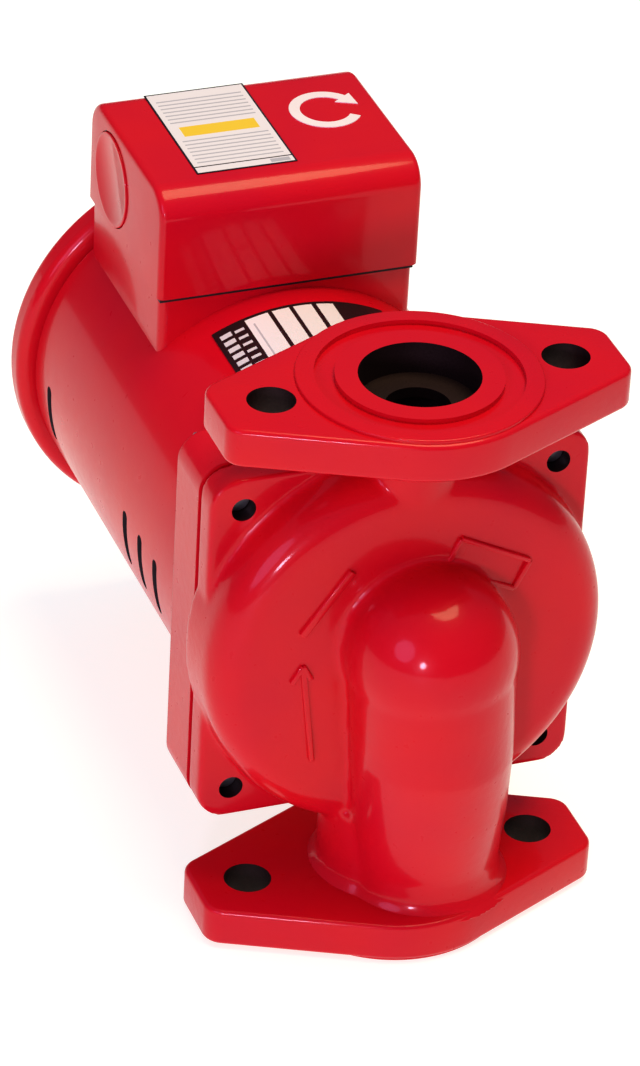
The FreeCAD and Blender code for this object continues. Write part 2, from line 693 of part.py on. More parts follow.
def bearing_balls(y0):
    balls = []
    for i in range(BALL_COUNT):
        centre = V(0, y0 + BEARING_W / 2.0, MOTOR_Z + PITCH_R)
        balls.append(around(Part.makeSphere(BALL_R, centre), 360.0 * i / BALL_COUNT))
    return Part.makeCompound(balls)


def bearing_cage(y0):
    # Thin ring whose round pockets hold the balls.
    middle = y0 + BEARING_W / 2.0
    cage = ring(CAGE_OUT_R, CAGE_IN_R, middle - CAGE_W / 2.0, middle + CAGE_W / 2.0)
    pockets = []
    for i in range(BALL_COUNT):
        pocket = post(BALL_R, MOTOR_Z, MOTOR_Z + BEARING_OUT_R, 0.0, middle)
        pockets.append(around(pocket, 360.0 * i / BALL_COUNT))
    return cage.cut(pockets)


# ---------------------------------------------------------------- rotor

def shaft():
    bearing_end = REAR_BEARING_Y + BEARING_W
    steps = [(THREAD_R, SHAFT_TIP_Y, NUT_SEAT_Y)]
    steps.append((INSERT_BORE_R, NUT_SEAT_Y, HUB_BACK_Y))
    steps.append((SEAL_SHAFT_R, HUB_BACK_Y, SLINGER_Y1))
    steps.append((BEARING_BORE_R, SLINGER_Y1, FRONT_BEARING_Y + BEARING_W))
    steps.append((CORE_SHAFT_R, FRONT_BEARING_Y + BEARING_W, CORE_SHAFT_END_Y))
    steps.append((FAN_SHAFT_R, CORE_SHAFT_END_Y, REAR_BEARING_Y))
    steps.append((BEARING_BORE_R, REAR_BEARING_Y, bearing_end))
    points = [(0.0, SHAFT_TIP_Y)]
    for radius, y0, y1 in steps:
        points.append((radius, y0))
        points.append((radius, y1))
    points.append((0.0, bearing_end))
    return turned_about_y(points)


def vane():
    # One swept-back vane, an arc from the eye to the rim.
    y0 = IMPELLER_FRONT_Y + SHROUD_T
    rim = IMPELLER_R - VANE_T
    edges = []
    for offset in (0.0, VANE_T):
        points = []
        for part in (0.0, 0.5, 1.0):
            radius = VANE_IN_R + (rim - VANE_IN_R) * part
            angle = math.radians(VANE_SWEEP * part ** 0.8) + offset / radius
            points.append(V(radius * math.sin(angle), y0, radius * math.cos(angle)))
        edges.append(points)
    lead, trail = edges
    wire = Part.Wire([
        Part.Arc(lead[0], lead[1], lead[2]).toShape(),
        Part.makeLine(lead[2], trail[2]),
        Part.Arc(trail[2], trail[1], trail[0]).toShape(),
        Part.makeLine(trail[0], lead[0]),
    ])
    depth = IMPELLER_BACK_Y - SHROUD_T - y0
    return on_shaft(Part.Face(wire).extrude(V(0, depth, 0)))


def impeller():
    eye_outer = EYE_R + IMPELLER_EYE_WALL
    front = ring(IMPELLER_R, EYE_R, IMPELLER_FRONT_Y, IMPELLER_FRONT_Y + SHROUD_T)
    eye = ring(eye_outer, EYE_R, IMPELLER_EYE_Y, IMPELLER_FRONT_Y + SHROUD_T)
    back = ring(IMPELLER_R, INSERT_R, IMPELLER_BACK_Y - SHROUD_T, IMPELLER_BACK_Y)
    hub = ring(IMPELLER_HUB_R, INSERT_R, NUT_SEAT_Y, HUB_BACK_Y)
    pieces = [eye, back, hub]
    for i in range(VANE_COUNT):
        pieces.append(around(vane(), 360.0 * i / VANE_COUNT))
    return front.fuse(pieces).removeSplitter()


def impeller_insert():
    return ring(INSERT_R, INSERT_BORE_R, NUT_SEAT_Y, HUB_BACK_Y)


def impeller_nut():
    return hex_bar(NUT_AF, NUT_FRONT_Y, NUT_SEAT_Y).cut(rod(THREAD_R, NUT_FRONT_Y, NUT_SEAT_Y))


def seal_head():
    return ring(CARBON_R, CARBON_IN_R, CARBON_Y, SEAL_FACE_Y - SEAL_FACE_GAP)


def seal_bellows():
    sleeve = ring(BELLOWS_R, SEAL_SHAFT_R, HUB_BACK_Y, CARBON_Y)
    nose = ring(CARBON_IN_R, SEAL_SHAFT_R, CARBON_Y, SEAL_FACE_Y - SEAL_FACE_GAP)
    return sleeve.fuse(nose).removeSplitter()


def seal_spring():
    # Square wire coil pushing the carbon face off the impeller hub.
    half = SPRING_WIRE / 2.0
    travel = CARBON_Y - HUB_BACK_Y - SPRING_WIRE
    helix = Part.makeHelix(travel / SPRING_TURNS, travel, SPRING_COIL_R)
    corners = [V(SPRING_COIL_R + a * half, 0, b * half) for a, b in ((-1, -1), (1, -1), (1, 1), (-1, 1))]
    section = Part.makePolygon(corners + [corners[0]])
    coil = Part.Wire(helix).makePipeShell([section], True, True)
    coil.rotate(V(0, 0, 0), X_AXIS, -90.0)
    coil.translate(V(0, HUB_BACK_Y + half, MOTOR_Z))
    return coil


def slinger():
    hub_y = (SLINGER_Y0 + SLINGER_Y1) / 2.0
    disc = ring(SLINGER_R, SEAL_SHAFT_R, hub_y, SLINGER_Y1)
    hub = ring(BELLOWS_R, SEAL_SHAFT_R, SLINGER_Y0, SLINGER_Y1)
    return disc.fuse(hub).removeSplitter()


def rotor_bars(radius):
    bars = []
    for i in range(BAR_COUNT):
        bar = rod(radius, CORE_Y0, CORE_Y1, 0.0, MOTOR_Z + BAR_PITCH_R)
        bars.append(around(bar, 360.0 * i / BAR_COUNT))
    return bars


def rotor_core():
    return ring(ROTOR_R, CORE_SHAFT_R, CORE_Y0, CORE_Y1).cut(rotor_bars(BAR_R))


def rotor_cage():
    # Cast aluminium bars joined by an end ring at each end of the core.
    front = ring(END_RING_R, END_RING_IN_R, CORE_Y0 - END_RING_T, CORE_Y0)
    back = ring(END_RING_R, END_RING_IN_R, CORE_Y1, CORE_Y1 + END_RING_T)
    return front.fuse([back] + rotor_bars(BAR_R)).removeSplitter()


def cooling_fan():
    disc = ring(FAN_R, FAN_SHAFT_R, FAN_Y1 - FAN_DISC_T, FAN_Y1)
    hub = ring(FAN_HUB_R, FAN_SHAFT_R, FAN_Y0, FAN_Y1)
    blades = []
    half = FAN_BLADE_T / 2.0
    for i in range(FAN_BLADES):
        blade = box(-half, half, FAN_Y0, FAN_Y1, MOTOR_Z + FAN_BLADE_IN_R, MOTOR_Z + FAN_R - 1.0)
        blades.append(around(blade, 360.0 * i / FAN_BLADES))
    return disc.fuse([hub] + blades).removeSplitter()


# ---------------------------------------------------------------- stator

def slot_box(width, r0, r1, y0, y1):
    half = width / 2.0
    return box(-half, half, y0, y1, MOTOR_Z + r0, MOTOR_Z + r1)


def stator_core():
    core = ring(MOTOR_IN_R, ROTOR_R + AIR_GAP, CORE_Y0, CORE_Y1)
    cuts = []
    for i in range(SLOT_COUNT):
        angle = 360.0 * i / SLOT_COUNT
        cuts.append(around(slot_box(SLOT_W, SLOT_IN_R, SLOT_OUT_R, CORE_Y0, CORE_Y1), angle))
        cuts.append(around(slot_box(SLOT_MOUTH_W, ROTOR_R, SLOT_IN_R, CORE_Y0, CORE_Y1), angle))
    for x, z in bolt_places():
        cuts.append(rod(BOLT_HOLE_R, CORE_Y0, CORE_Y1, x, z))
    return core.cut(cuts)


def end_turns(y0, y1):
    coil = ring(WINDING_R, WINDING_IN_R, y0, y1)
    far = y0 if y0 < CORE_Y0 else y1
    rims = [e for e in coil.Edges if abs(e.BoundBox.YMax - far) < 0.01 and abs(e.BoundBox.YMin - far) < 0.01]
    return coil.makeFillet(WINDING_EDGE_R, rims)


def stator_windings():
    # Slot conductors joined by rounded end turns on both sides of the core.
    width = SLOT_W - 2.0 * LINER
    bars = []
    for i in range(SLOT_COUNT):
        bar = slot_box(width, SLOT_IN_R + 4.0 * LINER, SLOT_OUT_R - LINER, CORE_Y0, CORE_Y1)
        bars.append(around(bar, 360.0 * i / SLOT_COUNT))
    front = end_turns(CORE_Y0 - WINDING_OVERHANG, CORE_Y0)
    back = end_turns(CORE_Y1, CORE_Y1 + WINDING_OVERHANG)
    return front.fuse([back] + bars).removeSplitter()


def thermal_protector():
    y1 = CORE_Y0 - WINDING_OVERHANG
    half = PROTECTOR_W / 2.0
    z0 = MOTOR_Z + PROTECTOR_RADIUS
    return box(-half, half, y1 - PROTECTOR_T, y1, z0, z0 + PROTECTOR_H)


# ---------------------------------------------------------------- motor housing

def vent(y):
    # Upright slot with round ends, cut through both sides of the shell.
    half = VENT_W / 2.0
    reach = MOTOR_R + 1.0
    slot = box(-reach, reach, y - half, y + half, VENT_Z0 + half, VENT_Z1 - half)
    low = Part.makeCylinder(half, 2.0 * reach, V(-reach, y, VENT_Z0 + half), X_AXIS)
    high = Part.makeCylinder(half, 2.0 * reach, V(-reach, y, VENT_Z1 - half), X_AXIS)
    return slot.fuse([low, high])


def motor_housing():
    shell = rod(MOTOR_R, BRACKET_BACK_Y, HOUSING_BACK_Y)
    block = box(-PEDESTAL_HALF_X, PEDESTAL_HALF_X, PEDESTAL_Y0, PEDESTAL_Y1, PEDESTAL_FOOT_Z, PEDESTAL_TOP_Z)
    inner_x = PEDESTAL_HALF_X - PEDESTAL_WALL
    pocket_y0 = PEDESTAL_Y0 + PEDESTAL_WALL
    pocket_y1 = PEDESTAL_Y1 - PEDESTAL_WALL
    pocket = box(-inner_x, inner_x, pocket_y0, pocket_y1, PEDESTAL_FLOOR_Z, PEDESTAL_TOP_Z + 1.0)
    body = shell.fuse(block.cut(pocket))
    pads = [box(-BLOCK_HALF_X, BLOCK_HALF_X, pocket_y0, BLOCK_Y1, PEDESTAL_FLOOR_Z, PAD_TOP_Z)]
    strap_half = STRAP_W / 2.0
    pad_y0 = CAPACITOR_Y - CAPACITOR_R * 0.4
    pad_y1 = CAPACITOR_Y + CAPACITOR_R * 0.4
    pads.append(box(STRAP_X - strap_half, STRAP_X + strap_half, pad_y0, pad_y1, PEDESTAL_FLOOR_Z, PAD_TOP_Z))
    well_z = GROMMET_WELL_Z + GROMMET_GAP
    pads.append(post(GROMMET_WELL_R, well_z, GROMMET_SEAT_Z, 0.0, GROMMET_Y))
    for side in (-1.0, 1.0):
        x = side * LUG_X
        y1 = COVER_Y1 - COVER_WALL
        lug = box(x - LUG_W / 2.0, x + LUG_W / 2.0, y1 - LUG_T, y1, PEDESTAL_FLOOR_Z, LUG_TOP_Z)
        pads.append(lug)
    body = body.fuse(pads)
    cuts = [rod(MOTOR_IN_R, BRACKET_BACK_Y, HOUSING_BACK_Y)]
    cuts.append(post(GROMMET_HOLE_R, GROMMET_WELL_Z - 5.0, GROMMET_SEAT_Z + 1.0, 0.0, GROMMET_Y))
    for y in FRONT_VENTS_Y:
        cuts.append(vent(y))
    cuts.append(vent(REAR_VENT_Y))
    for side in (-1.0, 1.0):
        cuts.append(rod(COVER_SCREW_R, COVER_Y1 - COVER_WALL - LUG_T, COVER_Y1, side * LUG_X, COVER_SCREW_Z))
    cuts.append(post(GROUND_R, PEDESTAL_FLOOR_Z - 3.0, PEDESTAL_FLOOR_Z + 1.0, GROUND_X, GROUND_Y))
    return body.cut(cuts).removeSplitter()


def end_bell():
    # Rear cover: thick outer lip, vented plate, bearing hub and a spigot into the housing.
    lip = rod(BELL_R, BELL_FRONT_Y, BELL_BACK_Y)
    rims = [e for e in lip.Edges if e.BoundBox.YMax - e.BoundBox.YMin < 0.01]
    lip = lip.makeFillet(BELL_EDGE_R, rims)
    plate_y = BELL_BACK_Y - BELL_WALL
    web_y = BELL_FRONT_Y + BELL_WALL
    bell = lip.cut(rod(BELL_RING_IN_R, web_y, plate_y))
    bell = bell.cut(rod(SPIGOT_IN_R, BELL_FRONT_Y - 1.0, web_y))
    bell = bell.fuse(ring(SPIGOT_R, SPIGOT_IN_R, BELL_SPIGOT_Y, BELL_FRONT_Y))
    bell = bell.fuse(rod(HUB_TUBE_R, BELL_HUB_Y, plate_y + 1.0))
    cuts = [rod(BEARING_OUT_R, BELL_HUB_Y, REAR_BEARING_Y + BEARING_W + PRELOAD_T)]
    cuts.append(rod(SLINGER_ROOM_R, BELL_HUB_Y, plate_y))
    for x, z in bolt_places():
        cuts.append(rod(BOLT_HOLE_R, BELL_SPIGOT_Y - 1.0, BELL_BACK_Y + 1.0, x, z))
    for i in range(BELL_VENT_COUNT):
        cut = slot_box(BELL_VENT_W, BELL_VENT_R0, BELL_VENT_R1, plate_y - 1.0, BELL_BACK_Y + 1.0)
        cuts.append(around(cut, 360.0 * i / BELL_VENT_COUNT))
    return bell.cut(cuts).removeSplitter()


def preload_spring():
    y0 = REAR_BEARING_Y + BEARING_W
    return ring(BEARING_OUT_R, OUTER_LAND_R, y0, y0 + PRELOAD_T)


def through_bolts():
    bolts = []
    for x, z in bolt_places():
        shank = rod(BOLT_R, BOLT_TIP_Y, BELL_BACK_Y, x, z)
        head = hex_bar(BOLT_HEAD_AF, BELL_BACK_Y, BELL_BACK_Y + BOLT_HEAD_H, x, z)
        bolts.append(shank.fuse(head).removeSplitter())
    return Part.makeCompound(bolts)


# ---------------------------------------------------------------- terminal box

def cover_profile(x, inset, drop):
    # Side view of the cover: square at the bottom, bent round at both top edges.
    y0 = COVER_Y0 + inset
    y1 = COVER_Y1 - inset
    z0 = COVER_Z0 - drop
    z1 = COVER_Z1 - inset
    r = COVER_BEND_R - inset
    k = r * (1.0 - math.sqrt(0.5))
    edges = [Part.makeLine(V(x, y0, z0), V(x, y0, z1 - r))]
    edges.append(Part.Arc(V(x, y0, z1 - r), V(x, y0 + k, z1 - k), V(x, y0 + r, z1)).toShape())
    edges.append(Part.makeLine(V(x, y0 + r, z1), V(x, y1 - r, z1)))
    edges.append(Part.Arc(V(x, y1 - r, z1), V(x, y1 - k, z1 - k), V(x, y1, z1 - r)).toShape())
    edges.append(Part.makeLine(V(x, y1, z1 - r), V(x, y1, z0)))
    edges.append(Part.makeLine(V(x, y1, z0), V(x, y0, z0)))
    return Part.Face(Part.Wire(edges))


def terminal_cover():
    outer = cover_profile(-COVER_HALF_X, 0.0, 0.0).extrude(V(2.0 * COVER_HALF_X, 0, 0))
    rims = []
    for e in outer.Edges:
        flat = e.BoundBox.XMax - e.BoundBox.XMin < 0.01
        above = e.BoundBox.ZMax > COVER_Z0 + 1.0
        if flat and above:
            rims.append(e)
    outer = outer.makeFillet(COVER_EDGE_R, rims)
    inner_x = COVER_HALF_X - COVER_WALL
    inner = cover_profile(-inner_x, COVER_WALL, 1.0).extrude(V(2.0 * inner_x, 0, 0))
    cuts = [inner]
    span = 2.0 * COVER_HALF_X + 2.0
    cuts.append(Part.makeCylinder(KNOCKOUT_R, span, V(-span / 2.0, KNOCKOUT_Y, KNOCKOUT_Z), X_AXIS))
    for side in (-1.0, 1.0):
        hole_r = COVER_SCREW_R + SCREW_GAP
        cuts.append(rod(hole_r, COVER_Y1 - COVER_WALL - 1.0, COVER_Y1 + 1.0, side * LUG_X, COVER_SCREW_Z))
    return outer.cut(cuts)


def knockout_discs():
    # Punched discs left in the holes, standing slightly proud of the sides.
    discs = []
    for side in (-1.0, 1.0):
        inside = side * (COVER_HALF_X - COVER_WALL)
        depth = COVER_WALL + KNOCKOUT_RELIEF
        disc = Part.makeCylinder(KNOCKOUT_R, depth, V(inside, KNOCKOUT_Y, KNOCKOUT_Z), X_AXIS * side)
        discs.append(disc)
    return Part.makeCompound(discs)


def cover_gasket():
    outer = box(-PEDESTAL_HALF_X, PEDESTAL_HALF_X, PEDESTAL_Y0, PEDESTAL_Y1, PEDESTAL_TOP_Z, COVER_Z0)
    wall = PEDESTAL_WALL
    inner_x = PEDESTAL_HALF_X - wall
    holes = [box(-inner_x, inner_x, PEDESTAL_Y0 + wall, PEDESTAL_Y1 - wall, PEDESTAL_TOP_Z, COVER_Z0)]
    lug_y = COVER_Y1 - COVER_WALL
    for side in (-1.0, 1.0):
        x = side * LUG_X
        holes.append(box(x - LUG_W / 2.0, x + LUG_W / 2.0, lug_y - LUG_T, lug_y, PEDESTAL_TOP_Z, COVER_Z0))
    return outer.cut(holes)


def cover_screws():
    screws = []
    for side in (-1.0, 1.0):
        x = side * LUG_X
        shank = rod(COVER_SCREW_R, COVER_Y1 - COVER_WALL - LUG_T, COVER_Y1, x, COVER_SCREW_Z)
        head = rod(COVER_SCREW_HEAD_R, COVER_Y1, COVER_Y1 + COVER_SCREW_HEAD_H, x, COVER_SCREW_Z)
        slot_half = COVER_SCREW_HEAD_H / 4.0
        top_y = COVER_Y1 + COVER_SCREW_HEAD_H
        r = COVER_SCREW_HEAD_R
        slot = box(x - r, x + r, top_y - 1.0, top_y, COVER_SCREW_Z - slot_half, COVER_SCREW_Z + slot_half)
        screws.append(shank.fuse(head).removeSplitter().cut(slot))
    return Part.makeCompound(screws)


def pole_x(i):
    pitch = 2.0 * BLOCK_HALF_X / BLOCK_POLES
    return -BLOCK_HALF_X + pitch * (i + 0.5)


def terminal_block():
    body_top = BLOCK_TOP_Z - BLOCK_FENCE_H
    body = box(-BLOCK_HALF_X, BLOCK_HALF_X, BLOCK_Y0, BLOCK_Y1, PAD_TOP_Z, body_top)
    pitch = 2.0 * BLOCK_HALF_X / BLOCK_POLES
    fences = []
    for i in range(BLOCK_POLES + 1):
        x0 = -BLOCK_HALF_X + pitch * i - BLOCK_FENCE_T / 2.0
        x0 = max(x0, -BLOCK_HALF_X)
        x0 = min(x0, BLOCK_HALF_X - BLOCK_FENCE_T)
        fences.append(box(x0, x0 + BLOCK_FENCE_T, BLOCK_Y0, BLOCK_Y1, body_top, BLOCK_TOP_Z))
    return body.fuse(fences).removeSplitter()


def terminal_screws():
    screws = []
    seat = BLOCK_TOP_Z - BLOCK_FENCE_H
    y = (BLOCK_Y0 + BLOCK_Y1) / 2.0
    for i in range(BLOCK_POLES):
        x = pole_x(i)
        head = post(TERMINAL_R, seat, seat + TERMINAL_H, x, y)
        slot = box(x - TERMINAL_R, x + TERMINAL_R, y - 0.4, y + 0.4, seat + TERMINAL_H / 2.0, seat + TERMINAL_H)
        screws.append(head.cut(slot))
    return Part.makeCompound(screws)


def capacitor_z():
    return PAD_TOP_Z + STRAP_T + CAPACITOR_R


def run_capacitor():
    length = CAPACITOR_X1 - CAPACITOR_X0
    can = Part.makeCylinder(CAPACITOR_R, length, V(CAPACITOR_X0, CAPACITOR_Y, capacitor_z()), X_AXIS)
    rims = [e for e in can.Edges if e.BoundBox.XMax - e.BoundBox.XMin < 0.01]
    return can.makeFillet(STRAP_T, rims)


def capacitor_strap():
    # Sheet band wrapped round the can, standing on the housing pad.
    x0 = STRAP_X - STRAP_W / 2.0
    centre = V(x0, CAPACITOR_Y, capacitor_z())
    band = Part.makeCylinder(CAPACITOR_R + STRAP_T, STRAP_W, centre, X_AXIS)
    foot_half = CAPACITOR_R * 0.4
    foot_z = PAD_TOP_Z + STRAP_T * 3.0
    foot = box(x0, x0 + STRAP_W, CAPACITOR_Y - foot_half, CAPACITOR_Y + foot_half, PAD_TOP_Z, foot_z)
    return band.fuse(foot).cut(Part.makeCylinder(CAPACITOR_R, STRAP_W, centre, X_AXIS)).removeSplitter()


def wire_along(points, bend):
    # Round wire: straight runs joined by tangent arcs at every inner corner.
    edges = []
    here = points[0]
    for i in range(1, len(points) - 1):
        corner = points[i]
        back = (points[i - 1] - corner).normalize()
        ahead = (points[i + 1] - corner).normalize()
        first = corner + back * bend
        last = corner + ahead * bend
        centre = corner + (back + ahead) * bend
        middle = centre - (back + ahead).normalize() * bend
        edges.append(Part.makeLine(here, first))
        edges.append(Part.Arc(first, middle, last).toShape())
        here = last
    edges.append(Part.makeLine(here, points[-1]))
    path = Part.Wire(edges)
    heading = (points[1] - points[0]).normalize()
    section = Part.Wire([Part.Circle(points[0], heading, WIRE_R).toShape()])
    return path.makePipeShell([section], True, True)


def lead_wires():
    # Three winding leads, up through the grommet and forward to the terminal block.
    wires = []
    for i in range(3):
        x = WIRE_PITCH * (i - 1)
        inner_side = max(abs(x) - WIRE_R, 0.0)
        start = V(x, GROMMET_Y, MOTOR_Z + math.sqrt(WINDING_R ** 2 - inner_side ** 2))
        corner = V(x, GROMMET_Y, WIRE_Z)
        end = V(x, BLOCK_Y1, WIRE_Z)
        wires.append(wire_along([start, corner, end], WIRE_BEND_R))
    return wires


def capacitor_leads():
    # Two leads from the can's end, round the side and into the block's end.
    wires = []
    mid_y = (BLOCK_Y0 + BLOCK_Y1) / 2.0
    for reach, start_y, end_y in ((5.5, -5.0, 2.2), (9.5, 5.0, -2.2)):
        x = CAPACITOR_X0 - reach
        p = [V(CAPACITOR_X0, CAPACITOR_Y + start_y, LEAD_Z)]
        p.append(V(x, CAPACITOR_Y + start_y, LEAD_Z))
        p.append(V(x, mid_y + end_y, LEAD_Z))
        p.append(V(-BLOCK_HALF_X, mid_y + end_y, LEAD_Z))
        wires.append(wire_along(p, LEAD_BEND_R))
    return wires


def lead_grommet():
    sleeve = post(GROMMET_HOLE_R, GROMMET_WELL_Z + GROMMET_GAP, GROMMET_SEAT_Z, 0.0, GROMMET_Y)
    lip = post(GROMMET_LIP_R, GROMMET_SEAT_Z, GROMMET_SEAT_Z + GROMMET_LIP_T, 0.0, GROMMET_Y)
    bore = post(GROMMET_BORE_R, GROMMET_WELL_Z - 3.0, GROMMET_SEAT_Z + GROMMET_LIP_T + 1.0, 0.0, GROMMET_Y)
    return sleeve.fuse(lip).cut(bore).removeSplitter()


def ground_screw():
    z = PEDESTAL_FLOOR_Z
    shank = post(GROUND_R, z - 3.0, z, GROUND_X, GROUND_Y)
    head = hex_bar(GROUND_HEAD_AF, 0.0, GROUND_HEAD_H, 0.0, 0.0)
    head.rotate(V(0, 0, 0), X_AXIS, 90.0)
    head.translate(V(GROUND_X, GROUND_Y, z))
    return shank.fuse(head).removeSplitter()


# ---------------------------------------------------------------- plates and labels

def nameplate():
    # Thin blank plate wrapped over the top of the motor shell.
    arc = 2.0 * PLATE_ANGLE
    wedge = Part.makeCylinder(MOTOR_R + PLATE_T, PLATE_Y1 - PLATE_Y0, V(0, 0, 0), Y_AXIS, arc)
    solid = wedge.cut(Part.makeCylinder(MOTOR_R, PLATE_Y1 - PLATE_Y0, V(0, 0, 0), Y_AXIS))
    middle = solid.Solids[0].CenterOfMass
    turn = math.degrees(math.atan2(middle.x, middle.z))
    solid.rotate(V(0, 0, 0), Y_AXIS, -turn)
    solid.translate(V(0, PLATE_Y0, MOTOR_Z))
    return solid


def cover_label():
    return box(LABEL_X0, LABEL_X1, LABEL_Y0, LABEL_Y1, COVER_Z1, COVER_Z1 + LABEL_T)


def rotation_mark():
    # Plain curved arrow printed on the cover, showing which way the shaft turns.
    z0 = COVER_Z1
    z1 = COVER_Z1 + LABEL_T
    band = post(MARK_R, z0, z1, MARK_X, MARK_Y).cut(post(MARK_R - MARK_BAND, z0, z1, MARK_X, MARK_Y))
    centre = V(MARK_X, MARK_Y, z0)
    reach = 2.0 * MARK_R
    half = math.radians(MARK_GAP_ANGLE / 2.0)
    a = centre + V(reach * math.cos(half), reach * math.sin(half), 0)
    b = centre + V(reach * math.cos(half), -reach * math.sin(half), 0)
    wedge = Part.Face(Part.makePolygon([centre, b, a, centre])).extrude(V(0, 0, LABEL_T))
    band = band.cut(wedge)
    along = V(math.sin(half), -math.cos(half), 0)
    out = V(math.cos(half), math.sin(half), 0)
    root = centre + out * (MARK_R - MARK_BAND / 2.0) - along * 0.5
    tip = root + along * (MARK_BAND * 1.8)
    wing_out = root + out * (MARK_BAND * 1.1)
    wing_in = root - out * (MARK_BAND * 1.1)
    head = Part.Face(Part.makePolygon([tip, wing_out, wing_in, tip])).extrude(V(0, 0, LABEL_T))
    return band.fuse(head).removeSplitter()


def compound(shapes):
    return Part.makeCompound(shapes)


os.makedirs("parts", exist_ok=True)

save("volute_casing", volute_casing())
save("casing_gasket", casing_gasket())
save("motor_bracket", motor_bracket())
save("bracket_screws", bracket_screws())
save("seal_seat", seal_seat())
save("seal_seat_cup", seal_seat_cup())
save("bearing_retaining_ring", bearing_retaining_ring())
save("front_outer_race", outer_race(FRONT_BEARING_Y))
save("rear_outer_race", outer_race(REAR_BEARING_Y))
save("preload_spring", preload_spring())
save("motor_housing", motor_housing())
save("stator_core", stator_core())
save("stator_windings", stator_windings())
save("thermal_protector", thermal_protector())
save("end_bell", end_bell())
save("through_bolts", through_bolts())
save("lead_grommet", lead_grommet())
save("lead_wires", compound(lead_wires()))
save("terminal_block", terminal_block())
save("terminal_screws", terminal_screws())
save("run_capacitor", run_capacitor())
save("capacitor_strap", capacitor_strap())
save("capacitor_leads", compound(capacitor_leads()))
save("ground_screw", ground_screw())
save("cover_gasket", cover_gasket())
save("terminal_cover", terminal_cover())
save("cover_screws", cover_screws())
save("knockout_discs", knockout_discs())
save("nameplate", nameplate())
save("cover_label", cover_label())
save("rotation_mark", rotation_mark())
save("shaft", shaft())
save("impeller", impeller())
save("impeller_insert", impeller_insert())
save("impeller_nut", impeller_nut())
save("seal_head", seal_head())
save("seal_bellows", seal_bellows())
save("seal_spring", seal_spring())
save("slinger", slinger())
save("front_inner_race", inner_race(FRONT_BEARING_Y))
save("rear_inner_race", inner_race(REAR_BEARING_Y))
save("rotor_core", rotor_core())
save("rotor_cage", rotor_cage())
save("cooling_fan", cooling_fan())
save("front_balls", bearing_balls(FRONT_BEARING_Y))
save("front_cage", bearing_cage(FRONT_BEARING_Y))
save("rear_balls", bearing_balls(REAR_BEARING_Y))
save("rear_cage", bearing_cage(REAR_BEARING_Y))
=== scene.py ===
import bpy
import math
from mathutils import Matrix, Vector


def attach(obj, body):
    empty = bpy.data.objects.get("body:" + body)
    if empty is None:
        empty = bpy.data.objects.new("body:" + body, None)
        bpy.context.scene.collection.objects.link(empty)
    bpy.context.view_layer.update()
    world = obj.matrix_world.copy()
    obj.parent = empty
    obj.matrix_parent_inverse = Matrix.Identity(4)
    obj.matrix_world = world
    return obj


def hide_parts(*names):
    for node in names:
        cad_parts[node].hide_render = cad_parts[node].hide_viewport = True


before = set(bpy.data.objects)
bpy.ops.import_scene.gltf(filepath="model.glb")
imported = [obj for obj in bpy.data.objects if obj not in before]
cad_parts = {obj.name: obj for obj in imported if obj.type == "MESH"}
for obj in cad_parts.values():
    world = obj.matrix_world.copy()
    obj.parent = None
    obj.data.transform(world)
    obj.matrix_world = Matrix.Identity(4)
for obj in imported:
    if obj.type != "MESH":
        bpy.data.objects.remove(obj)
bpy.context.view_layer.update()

# --- Pipe flanges -----------------------------------------------------------------------
# Two oval iron flanges, cast in one with the casing and machined on their outer faces.
# Each has a raised round boss with a gasket groove, a port and two bolt holes.
HEIGHT = 162.0
MOTOR_Z = HEIGHT / 2.0
FLANGE_T = 12.0
FLANGE_MIDDLE_R = 33.2
FLANGE_END_R = 6.0
BOSS_R = 32.0
BOSS_RISE = 1.0
GROOVE_IN_R = 21.8
GROOVE_OUT_R = 27.1
PORT_R = 15.9
BOLT_X = 40.1
BOLT_HOLE_R = 6.35


def mm(x, y, z):
    return (x / 1000.0, y / 1000.0, z / 1000.0)


def drop_selection():
    if bpy.context.object and bpy.context.object.mode != "OBJECT":
        bpy.ops.object.mode_set(mode="OBJECT")
    bpy.ops.object.select_all(action="DESELECT")


def only(piece):
    drop_selection()
    piece.select_set(True)
    bpy.context.view_layer.objects.active = piece
    return piece


def settle(piece):
    # Put the object's place, turn and scale into its mesh.
    only(piece)
    bpy.ops.object.transform_apply(location=True, rotation=True, scale=True)
    return piece


TURN = {"X": (0, math.pi / 2, 0), "Y": (-math.pi / 2, 0, 0), "Z": (0, 0, 0)}


def round_bar(name, radius, low, high, a=0.0, b=0.0, axis="Z", sides=128):
    # Millimetre cylinder from low to high along an axis; a and b are its other two places.
    drop_selection()
    middle = (low + high) / 2.0
    place = {"X": (middle, a, b), "Y": (a, middle, b), "Z": (a, b, middle)}[axis]
    bpy.ops.mesh.primitive_cylinder_add(
        vertices=sides, radius=radius / 1000.0, depth=(high - low) / 1000.0,
        location=mm(*place), rotation=TURN[axis])
    piece = bpy.context.object
    piece.name = name
    return settle(piece)


def join(first, *others):
    only(first)
    for other in others:
        other.select_set(True)
    bpy.ops.object.join()
    return first


def apply(piece, kind, **settings):
    only(piece)
    modifier = piece.modifiers.new(kind.lower(), kind)
    for key, value in settings.items():
        setattr(modifier, key, value)
    bpy.ops.object.modifier_apply(modifier=modifier.name)
    return piece


def combine(piece, operation, tools):
    for tool in tools:
        apply(piece, "BOOLEAN", operation=operation, solver="EXACT", object=tool)
        bpy.data.objects.remove(tool)
    return piece


def cut(piece, *tools):
    return combine(piece, "DIFFERENCE", tools)


def add(piece, *tools):
    return combine(piece, "UNION", tools)


def ease_edges(piece, width, segments=3, angle=40.0):
    return apply(piece, "BEVEL", width=width / 1000.0, segments=segments, limit_method="ANGLE",
                 angle_limit=math.radians(angle), use_clamp_overlap=True)


